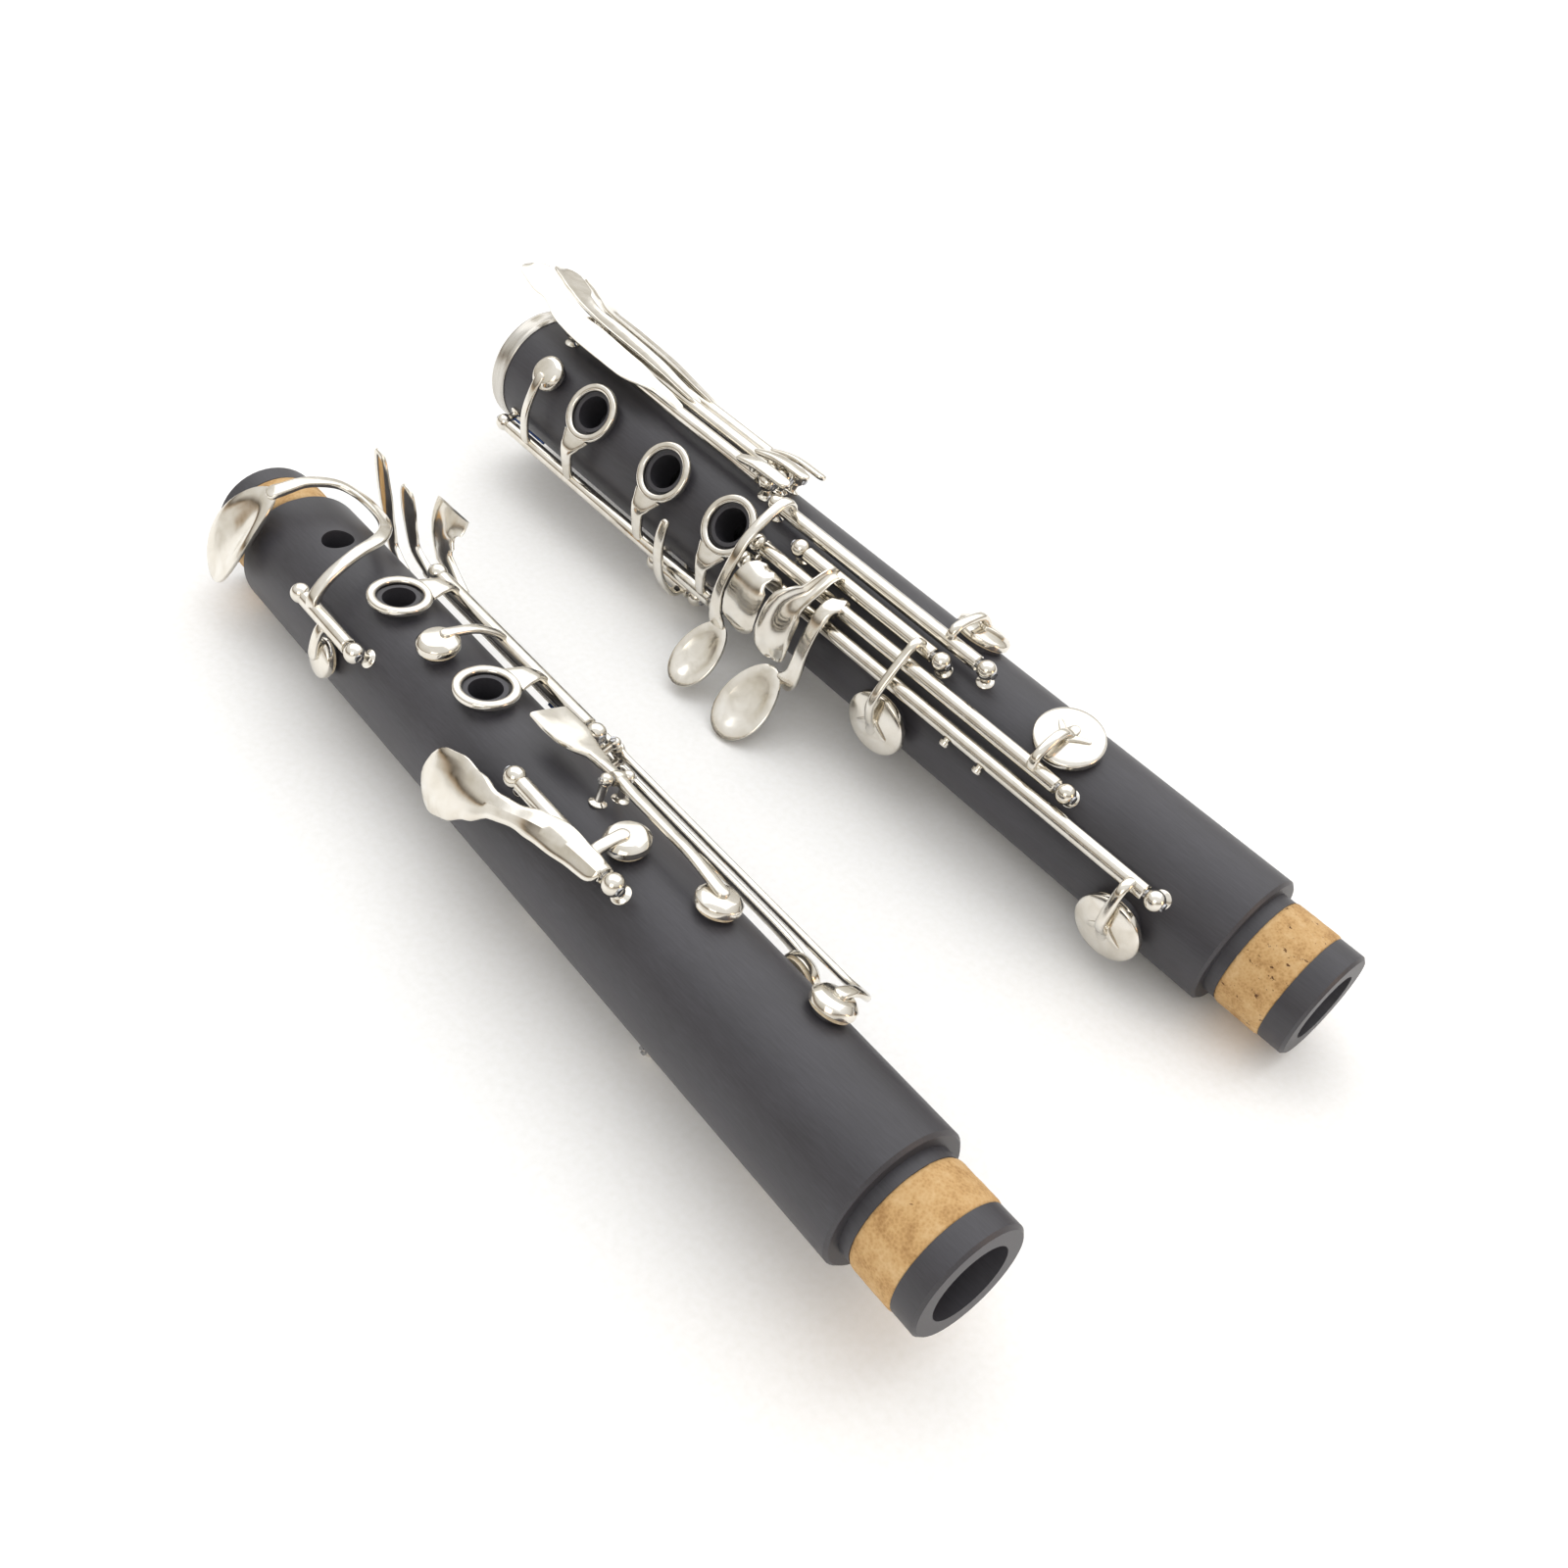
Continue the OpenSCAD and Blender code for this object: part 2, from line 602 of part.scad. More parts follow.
// Core of a lever, a little smaller all round, from which a touch grows
module lever_core(x0, x1, phi) {
    rail(x0, x1, phi, side_line - arm_t / 2 + core_inset, arm_w - 2 * core_inset, arm_t - 2 * core_inset);
}
module side_touch(phi, x, leaf) {
    hull() {
        lever_core(x - 2 * arm_w, x + arm_t, phi);
        for (run = [leaf[3] / 4, leaf[3]]) at(leaf[0], side_line + leaf[1], x + run)
            rotate([90 + leaf[0], 0, 0]) cylinder(d = leaf[2], h = plate_t, $fn = 32);
    }
}
module side_key(i) {
    k = side_keys[i];
    color("#c9c6bd") lay_upper() rocker(k[0], k[1], k[2], k[4], k[3])
        side_touch(k[0], k[3], side_leaves[i]);
}
module side_pad(k) {
    color("#e8dcc0") lay_upper() pad(k[4], k[2], upper_r + seat_lift, small_cup_r);
}
module trill_key_1() { side_key(0); }
module trill_pad_1() { side_pad(side_keys[0]); }
module trill_key_2() { side_key(1); }
module trill_pad_2() { side_pad(side_keys[1]); }
module side_key_3() { side_key(2); }
module side_pad_3() { side_pad(side_keys[2]); }
module side_key_4() { side_key(3); }
module side_pad_4() { side_pad(side_keys[3]); }

module a_touch() {
    hull() {
        lever_core(a_touch_x - 6, a_touch_x + 1, a_phi);
        at(a_phi + 6, side_line - plate_t / 2 + 0.1, a_touch_x + 6) cylinder(d = 8, h = plate_t, $fn = 32);
    }
}
module a_key() {
    color("#c9c6bd") lay_upper() rocker(a_phi, a_pivot_x, a_pad_x, a_phi, a_touch_x) a_touch();
}
module a_pad() {
    color("#e8dcc0") lay_upper() pad(a_phi, a_pad_x, upper_r + seat_lift, small_cup_r);
}

module register_key() {
    axis_r = upper_line * cos(register_turn);
    half = upper_line * sin(register_turn) - post_reach;
    touch_r = upper_r + 2.2;
    color("#c9c6bd") lay_upper() difference() {
        union() {
            at(180, axis_r, register_x) translate([0, -half, 0]) rotate([-90, 0, 0])
                cylinder(r = tube_r, h = 2 * half);
            rail(register_vent_x - 1, register_x, 180, axis_r - arm_t / 2, 3);
            cup(180, register_vent_x, upper_r + seat_lift, small_cup_r);
            hull() {
                at(180, axis_r - 1, register_x + 2) cylinder(d = 3, h = plate_t, $fn = 32);
                at(180, touch_r, register_x + 9) cylinder(d = 7, h = plate_t, $fn = 32);
            }
            hull() {
                at(180, touch_r, register_x + 9) cylinder(d = 7, h = plate_t, $fn = 32);
                at(180, touch_r, register_x + 23) cylinder(d = 10, h = plate_t, $fn = 32);
            }
        }
        register_pin(rod_r + run_gap);
    }
}
module register_pad() {
    color("#e8dcc0") lay_upper() pad(180, register_vent_x, upper_r + seat_lift, small_cup_r);
}

// ---- Lower joint ----

module lower_body() {
    color("#3a3b3e") lay_lower() difference() {
        union() {
            difference() {
                body_stock(lower_len, lower_r);
                difference() {
                    bar_x(-cut, ring_w, lower_r + cut);
                    bar_x(-2 * cut, ring_w + cut, lower_r - ring_wall / 2);
                }
            }
            translate([lower_len, 0, 0]) tenon(bell_tenon_len, bell_tenon_d / 2);
            for (x = lower_rings) chimney(x, lower_hole_d / 2, lower_r);
            seat(lower_vent_phi, lower_vent_x, small_hole_d / 2, lower_r);
            for (v = lower_seats) seat(v[0], v[1], large_hole_d / 2, lower_r);
        }
        bar_x(-cut, lower_len + bell_tenon_len + cut, bore_r);
        bar_x(-cut, socket_depth, socket_d / 2);
        for (x = lower_rings) hole(0, x, lower_hole_d / 2, lower_r + chimney_rise);
        hole(lower_vent_phi, lower_vent_x, small_hole_d / 2, lower_r);
        for (v = lower_seats) hole(v[0], v[1], large_hole_d / 2, lower_r);
        hole(sliver_pad_phi, sliver_pad_x, small_hole_d / 2, lower_r);
        at(sliver_pad_phi, sliver_seat, sliver_pad_x) cylinder(r = sliver_cup_r + ring_gap, h = pad_t + cup_h);
        for (h = lower_hinges) for (x = [h[0] - post_reach, h[1] + post_reach]) stem_hole(h[2], x, lower_r);
        for (x = rest_screw_x) at(180, lower_r - rest_screw_depth, x)
            cylinder(r = rest_screw_r, h = rest_screw_depth + cut);
    }
}
module socket_ring() {
    color("#c9c6bd") lay_lower() rotate([0, 90, 0]) rotate_extrude($fn = 128)
        polygon([[lower_r - ring_wall / 2, 0.4], [lower_r - ring_wall / 2, ring_w],
                 [lower_r + ring_wall / 2, ring_w], [lower_r + ring_wall / 2, 0.9],
                 [lower_r, 0.4]]);
}
module bell_tenon_cork() {
    color("#d2a86a") lay_lower() translate([lower_len, 0, 0]) tenon_cork(bell_tenon_len, bell_tenon_d / 2);
}
module lower_posts() {
    color("#c9c6bd") lay_lower() difference() {
        for (h = lower_hinges) for (x = [h[0] - post_reach, h[1] + post_reach]) post(h[2], x, h[3], lower_r);
        lower_rod_space(rod_r + 0.01);
    }
}
module lower_rod_space(r) {
    for (h = lower_hinges) at(h[2], h[3], 0) bar_x(h[0] - rod_over, h[1] + rod_over, r);
}
module lower_rods() {
    color("#9a9da1") lay_lower() lower_rod_space(rod_r);
}
module lower_springs() {
    color("#4d5a78") lay_lower() for (h = lower_hinges) needle(h, lower_r);
}

module thumb_rest() {
    color("#c9c6bd") lay_lower() difference() {
        union() {
            at(180, rest_seat, rest_x - rest_foot_len) translate([0, -rest_w / 2, 0])
                cube([rest_foot_len + rest_t, rest_w, rest_foot_t]);
            at(180, rest_seat, rest_x) translate([0, -rest_w / 2, 0])
                cube([rest_t, rest_w, rest_reach - rest_seat]);
            at(180, rest_reach - rest_t, rest_x - rest_shelf) translate([0, -rest_w / 2, 0])
                cube([rest_shelf + rest_t, rest_w, rest_t]);
        }
        for (x = rest_screw_x) at(180, lower_r - cut, x)
            cylinder(r = rest_screw_r + run_gap, h = rest_foot_t + 3 * cut);
    }
}
module thumb_rest_screws() {
    color("#9a9da1") lay_lower() for (x = rest_screw_x) {
        at(180, lower_r - rest_screw_depth, x)
            cylinder(r = rest_screw_r, h = rest_screw_depth + rest_foot_t + rest_head_h);
        at(180, rest_seat + rest_foot_t, x) cylinder(r = rest_head_r, h = rest_head_h);
    }
}

module lower_ring_key() {
    r = lower_hole_d / 2;
    edge = ring_out(r) - 0.5;
    top = lower_r + chimney_rise - ring_h / 2;
    color("#c9c6bd") lay_lower() swing(lower_ring_phi, lower_line, ring_rest_turn) difference() {
        union() {
            hinge_tube(lower_ring_x0, lower_ring_x1, lower_ring_phi, lower_line);
            for (x = lower_rings) {
                finger_ring(x, r, lower_r);
                strut(x, arm_w + 0.6, lower_ring_phi, lower_line, -atan2(edge, top), norm([edge, top]));
            }
            cup(lower_vent_phi, lower_vent_x, lower_r + seat_lift, small_cup_r);
            hoop(lower_vent_x, arm_w, lower_ring_phi, lower_vent_phi + arm_end,
                 lower_r + seat_lift + cup_h, arm_t);
        }
        tube_bore(lower_ring_x0, lower_ring_x1, lower_ring_phi, lower_line);
    }
}
module lower_ring_vent_pad() {
    color("#e8dcc0") lay_lower() swing(lower_ring_phi, lower_line, ring_rest_turn)
        pad(lower_vent_phi, lower_vent_x, lower_r + seat_lift, small_cup_r);
}

module sliver_key() {
    x_lever = sliver_x1 - 2.4;
    back = sliver_seat + pad_gap + cup_h;
    color("#c9c6bd") lay_lower() difference() {
        union() {
            hinge_tube(sliver_x0, sliver_x1, sliver_phi, sliver_line);
            cup(sliver_pad_phi, sliver_pad_x, sliver_seat, sliver_cup_r);
            strut(sliver_pad_x, arm_w, sliver_pad_phi, back, sliver_phi, sliver_line, 1);
            hoop(x_lever, 2, sliver_phi, -20, press_over, arm_t);
            rail(x_lever - 1, x_lever + 1, sliver_phi, sliver_line, 2, press_over - sliver_line + 0.5);
        }
        tube_bore(sliver_x0, sliver_x1, sliver_phi, sliver_line);
    }
}
module sliver_pad() {
    color("#e8dcc0") lay_lower() pad(sliver_pad_phi, sliver_pad_x, sliver_seat, sliver_cup_r);
}

// Riser from a hinge tube to the level at which arms pass over the other hinge lines
module riser(x, w, phi, level = lower_over) {
    rail(x - w / 2, x + w / 2, phi, lower_line, arm_w, level - lower_line + arm_t);
}
// Arm from a hinge tube over its neighbours and down to a pad cup
module pad_arm(x, phi, pad_phi, r) {
    join = lower_r + seat_lift + cup_h;
    riser(x, arm_w, phi);
    hoop(x, arm_w, min(phi, pad_phi) - arm_end, max(phi, pad_phi) + arm_end, lower_over, arm_t);
    at(pad_phi, join, x) cylinder(r = stalk_r, h = lower_over - join + arm_t / 2, $fn = 32);
    cup(pad_phi, x, lower_r + seat_lift, r);
}

// Tall touch that rises from the hinge and folds down towards the right of the body
module wave_touch(x, w) {
    hoop(x, w, wave_phi0, e_phi + 5, lower_over, arm_t);
    hoop(x, w, wave_phi0 + 9, e_phi - 5, lower_over + arm_t - 0.1, wave_rise);
}
// Oval touch that hangs beside the body, out to a tip
module oval_touch(x, w, tip) {
    hull() for (end = [[w * 0.6, oval_start + w * 0.3], [w, tip - w / 2]]) at(oval_turn, oval_h, x)
        translate([0, -end[1], 0]) cylinder(d = end[0], h = plate_t, $fn = 32);
}

module e_key() {
    color("#c9c6bd") lay_lower() swing(e_phi, lower_line, -e_open) difference() {
        union() {
            hinge_tube(e_x0, e_x1, e_phi, lower_line);
            pad_arm(e_pad_x, e_phi, e_pad_phi, large_cup_r);
            riser(e_touch_x, wave_w - 3, e_phi);
            wave_touch(e_touch_x, wave_w);
        }
        tube_bore(e_x0, e_x1, e_phi, lower_line);
    }
}
module e_pad() {
    color("#e8dcc0") lay_lower() swing(e_phi, lower_line, -e_open)
        pad(e_pad_phi, e_pad_x, lower_r + seat_lift, large_cup_r);
}
module f_key() {
    color("#c9c6bd") lay_lower() swing(f_phi, lower_line, -f_open) difference() {
        union() {
            hinge_tube(f_x0, f_x1, f_phi, lower_line);
            pad_arm(f_pad_x, f_phi, f_pad_phi, large_cup_r);
            riser(f_touch_x, arm_w, f_phi);
            hoop(f_touch_x, arm_w, e_phi - arm_end, f_phi + arm_end, lower_over + core_inset, arm_t);
            wave_touch(f_touch_x, wave_w);
        }
        tube_bore(f_x0, f_x1, f_phi, lower_line);
    }
}
module f_pad() {
    color("#e8dcc0") lay_lower() swing(f_phi, lower_line, -f_open)
        pad(f_pad_phi, f_pad_x, lower_r + seat_lift, large_cup_r);
}
module ab_key() {
    color("#c9c6bd") lay_lower() difference() {
        union() {
            hinge_tube(ab_x0, ab_x1, ab_phi, lower_line);
            pad_arm(ab_pad_x, ab_phi, ab_pad_phi, large_cup_r);
            riser(ab_arm_x, arm_w, ab_phi, press_over);
            hoop(ab_arm_x, arm_w, oval_phi, ab_phi, press_over, arm_t);
            hoop(ab_arm_x - 3, 8, oval_phi, oval_phi + arm_end, press_over + 0.1, arm_t);
            oval_touch(ab_oval_x, ab_oval_w, ab_oval_tip);
        }
        tube_bore(ab_x0, ab_x1, ab_phi, lower_line);
    }
}
module ab_pad() {
    color("#e8dcc0") lay_lower() pad(ab_pad_phi, ab_pad_x, lower_r + seat_lift, large_cup_r);
}
module fsharp_key() {
    color("#c9c6bd") lay_lower() difference() {
        union() {
            hinge_tube(fs_x0, fs_x1, fs_phi, lower_line);
            pad_arm(fs_pad_x, fs_phi, fs_pad_phi, fs_cup_r);
            riser(fs_arm_x, arm_w, fs_phi, high_over);
            hoop(fs_arm_x, arm_w, oval_phi, fs_phi + 2, high_over, arm_t);
            oval_touch(fs_arm_x + 2, fs_oval_w, oval_start + fs_oval_len);
        }
        tube_bore(fs_x0, fs_x1, fs_phi, lower_line);
    }
}
module fsharp_pad() {
    color("#e8dcc0") lay_lower() pad(fs_pad_phi, fs_pad_x, lower_r + seat_lift, fs_cup_r);
}

// Left-hand lever: touch plate past the socket, hinge tube and a foot at the other end
module left_lever(i, touch_phi, touch_x) {
    phi = lever_phi[i];
    difference() {
        union() {
            hinge_tube(lever_x0, lever_x1, phi, lower_line);
            riser(lever_x0 + 3, 4, phi);
            rail(touch_x + 6, lever_x0 + 5, phi, lower_over);
            hull() {
                at(phi + 2, lower_over, touch_x + 8) cylinder(d = 4, h = plate_t, $fn = 32);
                at(touch_phi, lower_over + 1.2, touch_x) cylinder(d = 6.8, h = plate_t, $fn = 32);
                at(touch_phi + 4, lower_over + 2.4, touch_x - 4) cylinder(d = 5, h = plate_t, $fn = 32);
            }
            riser(lever_x1 - 3, 4, phi);
            rail(lever_x1 - 4, lever_x1 + foot_reach, phi, lower_over);
        }
        tube_bore(lever_x0, lever_x1, phi, lower_line);
    }
}
module e_lever() {
    color("#c9c6bd") lay_lower() left_lever(0, 48, -2);
}
module f_lever() {
    color("#c9c6bd") lay_lower() left_lever(1, 68, 0);
}
module fsharp_lever() {
    color("#c9c6bd") lay_lower() left_lever(2, 90, 2);
}

// ---- Nodes ----

upper_body();
barrel_tenon_cork();
middle_tenon_cork();
upper_posts();
upper_rods();
upper_springs();
thumb_bush();
upper_ring_key();
upper_ring_vent_pad();
thumb_ring_key();
csharp_key();
csharp_pad();
gsharp_key();
gsharp_pad();
a_key();
a_pad();
register_key();
register_pad();
trill_key_1();
trill_pad_1();
trill_key_2();
trill_pad_2();
side_key_3();
side_pad_3();
side_key_4();
side_pad_4();
lower_body();
socket_ring();
bell_tenon_cork();
lower_posts();
lower_rods();
lower_springs();
thumb_rest();
thumb_rest_screws();
lower_ring_key();
lower_ring_vent_pad();
sliver_key();
sliver_pad();
e_key();
e_pad();
ab_key();
ab_pad();
f_key();
f_pad();
fsharp_key();
fsharp_pad();
e_lever();
f_lever();
fsharp_lever();
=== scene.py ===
import json
import math
import bmesh
import bpy
from mathutils import Matrix, Vector, noise

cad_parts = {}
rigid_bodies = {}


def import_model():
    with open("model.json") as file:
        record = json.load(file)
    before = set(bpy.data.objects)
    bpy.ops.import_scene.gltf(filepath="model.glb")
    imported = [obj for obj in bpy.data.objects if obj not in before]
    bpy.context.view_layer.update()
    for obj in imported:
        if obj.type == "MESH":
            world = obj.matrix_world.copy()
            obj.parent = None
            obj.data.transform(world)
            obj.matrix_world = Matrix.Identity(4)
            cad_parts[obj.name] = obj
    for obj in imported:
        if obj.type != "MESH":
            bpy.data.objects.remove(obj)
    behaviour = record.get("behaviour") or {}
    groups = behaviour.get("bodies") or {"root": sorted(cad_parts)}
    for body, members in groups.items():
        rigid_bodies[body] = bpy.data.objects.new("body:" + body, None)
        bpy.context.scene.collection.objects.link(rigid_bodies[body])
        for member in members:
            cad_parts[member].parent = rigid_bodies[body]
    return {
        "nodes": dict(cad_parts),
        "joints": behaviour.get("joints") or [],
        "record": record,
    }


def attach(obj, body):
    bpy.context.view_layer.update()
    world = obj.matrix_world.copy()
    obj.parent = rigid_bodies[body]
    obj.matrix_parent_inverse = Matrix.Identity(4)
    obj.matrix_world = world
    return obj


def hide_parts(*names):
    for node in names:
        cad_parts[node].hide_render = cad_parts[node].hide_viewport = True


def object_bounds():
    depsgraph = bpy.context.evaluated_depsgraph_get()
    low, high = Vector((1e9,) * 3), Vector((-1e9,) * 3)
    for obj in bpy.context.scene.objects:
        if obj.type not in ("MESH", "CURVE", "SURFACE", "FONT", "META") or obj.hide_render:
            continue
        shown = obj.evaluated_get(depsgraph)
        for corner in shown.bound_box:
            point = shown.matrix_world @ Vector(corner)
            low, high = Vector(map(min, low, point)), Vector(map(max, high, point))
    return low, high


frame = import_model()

nodes = frame["nodes"]
cad_box = [list(corner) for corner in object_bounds()]

# ---- Camera ----
# A short standard lens looks down on the two joints from their tenon ends, with the lower joint
# behind and the upper joint in front. It is held a little out of level.
eye = Vector((0.28621, -0.21702, 0.19577))
look = Vector((-0.4688, 0.5691, -0.6756)).normalized()
level_right = look.cross(Vector((0, 0, 1))).normalized()
level_up = level_right.cross(look)
roll = math.radians(11.87)
right = level_right * math.cos(roll) + level_up * math.sin(roll)
up = right.cross(look)
lens = bpy.data.cameras.new("studio_camera")
lens.lens = 35.15
lens.sensor_width = 36
lens.clip_start = 0.01
camera = bpy.data.objects.new("studio_camera", lens)
camera.matrix_world = Matrix((right, up, -look)).transposed().to_4x4()
camera.location = eye
bpy.context.scene.collection.objects.link(camera)
bpy.context.scene.camera = camera

# ---- Bodies ----
# The two bodies are turned from moulded black resin, bored through, and sanded lengthwise to a fine
# matt skin. Every other piece is laid out on their axes.
MM = 0.001


class Axes:
    """A joint's own axes: an angle that turns from the finger holes towards the player's left, a
    radius, and a distance along the body from the socket or the barrel shoulder, in millimetres.
    The angle is set by a sample point that is known to lie at a given angle."""

    def __init__(self, origin, along, sample, angle):
        self.origin = Vector(origin)
        self.x = Vector(along).normalized()
        reach = Vector(sample) - self.origin
        out = (reach - self.x * reach.dot(self.x)).normalized()
        side = out.cross(self.x)
        a = math.radians(angle)
        self.z = out * math.cos(a) - side * math.sin(a)
        self.y = self.z.cross(self.x)

    def out(self, phi):
        a = math.radians(phi)
        return self.y * math.sin(a) + self.z * math.cos(a)

    def at(self, phi, r, x):
        return self.origin + self.x * (x * MM) + self.out(phi) * (r * MM)


mounts = {m["name"]: m for m in frame["record"]["mounts"]}
joints = {j["name"]: j for j in frame["joints"]}
# The A-flat key's rod lies 3 degrees from the line of the finger holes, the register key's pin opposite
lower = Axes(mounts["lower_socket"]["pos_m"], mounts["bell_tenon"]["axis"],
             joints["ab_hinge"]["pos_m"], 3)
# How far the middle of a tenon's cork lies from the shoulder, as a share of the cork's length
cork_middle = 0.75
barrel = mounts["barrel_tenon"]
shoulder = Vector(barrel["pos_m"]) - Vector(barrel["axis"]) * barrel["dims"]["length_mm"] * cork_middle * MM
upper = Axes(shoulder, mounts["middle_tenon"]["axis"], joints["register_pivot"]["pos_m"], 180)
# Length between shoulders, radius of the body, and height of the hinge rods over the axis
upper.length, upper.body, upper.line = 196, 13.7, 17.5
lower.length, lower.body, lower.line = 226, 14.4, 18.2


def to_linear(code):
    channels = [int(code[i:i + 2], 16) / 255 for i in (1, 3, 5)]
    return [c / 12.92 if c <= 0.04045 else ((c + 0.055) / 1.055) ** 2.4 for c in channels] + [1.0]


def add(tree, kind, inputs=None, stops=None, **settings):
    """Adds one node, with its settings, its ramp stops and its input values or links."""
    made = tree.nodes.new(kind)
    for key, value in settings.items():
        setattr(made, key, value)
    if stops:
        ramp = made.color_ramp
        while len(ramp.elements) < len(stops):
            ramp.elements.new(1.0)
        for element, (place, colour) in zip(ramp.elements, stops):
            element.position = place
            element.color = to_linear(colour)
    for key, value in (inputs or {}).items():
        if isinstance(value, bpy.types.NodeSocket):
            tree.links.new(value, made.inputs[key])
        else:
            made.inputs[key].default_value = value
    return made


def new_material(name):
    """An empty material, its node tree, and the place on the piece that its patterns follow."""
    made = bpy.data.materials.new(name)
    made.use_nodes = True
    tree = made.node_tree
    tree.nodes.clear()
    return made, tree, add(tree, "ShaderNodeTexCoord").outputs["Object"]


def finish_material(tree, surface, height=None, distance=0.0, strength=1.0):
    """Joins a surface to the output, with a bump of that height in metres."""
    if height is not None:
        bump = add(tree, "ShaderNodeBump", {"Height": height, "Distance": distance, "Strength": strength})
        tree.links.new(bump.outputs["Normal"], surface.inputs["Normal"])
    add(tree, "ShaderNodeOutputMaterial", {"Surface": surface.outputs["BSDF"]})


def dress(name, material):
    """Gives a carried-over part its finish."""
    part = nodes[name]
    part.data.materials.clear()
    part.data.materials.append(material)


# Moulded resin, sanded along the body: a matt charcoal that goes pale where light grazes it, with
# faint lengthwise streaks. The real sanding lines are 0.05 mm apart and are drawn at 0.3 mm to show.
resin, tree, place = new_material("sanded_moulded_resin")
lengthwise = add(tree, "ShaderNodeMapping", {"Vector": place, "Scale": (0.06, 1, 1)}).outputs["Vector"]
streaks = add(tree, "ShaderNodeTexNoise", {"Vector": lengthwise, "Scale": 3300, "Detail": 4,
              "Roughness": 0.6})
cloud = add(tree, "ShaderNodeTexNoise", {"Vector": place, "Scale": 60, "Detail": 3})
mixed = add(tree, "ShaderNodeMath", {0: streaks.outputs["Fac"], 1: cloud.outputs["Fac"]}, operation="ADD")
halved = add(tree, "ShaderNodeMath", {0: mixed.outputs[0], 1: 0.5}, operation="MULTIPLY")
tone = add(tree, "ShaderNodeValToRGB", {"Fac": halved.outputs[0]},
           stops=[(0.3, "#323135"), (0.5, "#3a393e"), (0.72, "#434248")])
matt = add(tree, "ShaderNodeMapRange", {"Value": cloud.outputs["Fac"], "To Min": 0.4, "To Max": 0.5})
skin = add(tree, "ShaderNodeBsdfPrincipled", {"Base Color": tone.outputs["Color"],
           "Roughness": matt.outputs["Result"], "IOR": 1.5})
finish_material(tree, skin, streaks.outputs["Fac"], 0.00002, 0.5)
dress("upper_body", resin)
dress("lower_body", resin)


# ---- Tenon corks ----
# Strips of sheet cork glued round the turned grooves of the three tenons, sanded smooth with eased
# edges and greased. Each stands a quarter of a millimetre proud of its tenon.
def join_rings(bm, rings, closed=False):
    """Faces between rings of points, which may end in a single point, and across each open end."""
    sides = max(len(ring) for ring in rings)
    pairs = list(zip(rings, rings[1:]))
    if closed:
        pairs.append((rings[-1], rings[0]))
    for low, high in pairs:
        for i in range(sides):
            j = (i + 1) % sides
            corners = [low[i % len(low)], low[j % len(low)], high[j % len(high)], high[i % len(high)]]
            corners = list(dict.fromkeys(corners))
            if len(corners) > 2:
                bm.faces.new(corners)
    if not closed:
        for ring in (rings[0], rings[-1]):
            if len(ring) > 1:
                bm.faces.new(ring)


def turned(bm, centre, axis, profile, sides=40, closed=False):
    """Lathe work: a profile of (radius, height) in millimetres about an axis."""
    axis = axis.normalized()
    side = axis.orthogonal().normalized()
    other = axis.cross(side)
    angles = [2 * math.pi * i / sides for i in range(sides)]
    rings = []
    for r, height in profile:
        spot = centre + axis * (height * MM)
        if r == 0:
            rings.append([bm.verts.new(spot)])
        else:
            rings.append([bm.verts.new(spot + (side * math.cos(a) + other * math.sin(a)) * (r * MM))
                          for a in angles])
    join_rings(bm, rings, closed)


def make(bm, name, body, material, slot, *stands_for, smooth=38):
    """Closes a mesh into a piece that rides on a body and stands for those CAD nodes."""
    bmesh.ops.recalc_face_normals(bm, faces=bm.faces)
    mesh = bpy.data.meshes.new(name)
    bm.to_mesh(mesh)
    bm.free()
    mesh.polygons.foreach_set("use_smooth", [True] * len(mesh.polygons))
    mesh.set_sharp_from_angle(angle=math.radians(smooth))
    mesh.materials.append(material)
    piece = bpy.data.objects.new(name, mesh)
    bpy.context.scene.collection.objects.link(piece)
    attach(piece, body)
    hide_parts(*stands_for)


def natural_cork(name, fleck_share):
    """Sanded sheet cork: pale tan grain 0.5 mm across with brown lenticels 0.6 to 1.2 mm long."""
    cork, tree, place = new_material(name)
    grain = add(tree, "ShaderNodeTexVoronoi", {"Vector": place, "Scale": 1900, "Randomness": 1.0})
    patch = add(tree, "ShaderNodeTexNoise", {"Vector": place, "Scale": 260, "Detail": 5, "Roughness": 0.65})
    blend = add(tree, "ShaderNodeMath", {0: grain.outputs["Distance"], 1: 0.25, 2: patch.outputs["Fac"]},
                operation="MULTIPLY_ADD")
    tan = add(tree, "ShaderNodeValToRGB", {"Fac": blend.outputs[0]},
              stops=[(0.4, "#a37c4c"), (0.62, "#c29c68"), (0.85, "#cfae7f")])
    stretched = add(tree, "ShaderNodeMapping", {"Vector": place, "Scale": (0.6, 1, 1)})
    fleck = add(tree, "ShaderNodeTexNoise", {"Vector": stretched.outputs["Vector"], "Scale": 900, "Detail": 3,
                "Roughness": 0.7})
    mask = add(tree, "ShaderNodeMapRange", {"Value": fleck.outputs["Fac"], "From Min": 0.72 - fleck_share,
               "From Max": 0.76 - fleck_share})
    colour = add(tree, "ShaderNodeMix", {0: mask.outputs["Result"], 6: tan.outputs["Color"],
                 7: to_linear("#5e3b1f")}, data_type="RGBA")
    surface = add(tree, "ShaderNodeBsdfPrincipled", {"Base Color": colour.outputs[2], "Roughness": 0.82})
    pits = add(tree, "ShaderNodeMath", {0: patch.outputs["Fac"], 1: mask.outputs["Result"]},
               operation="SUBTRACT")
    finish_material(tree, surface, pits.outputs[0], 0.00012, 0.7)
    return cork


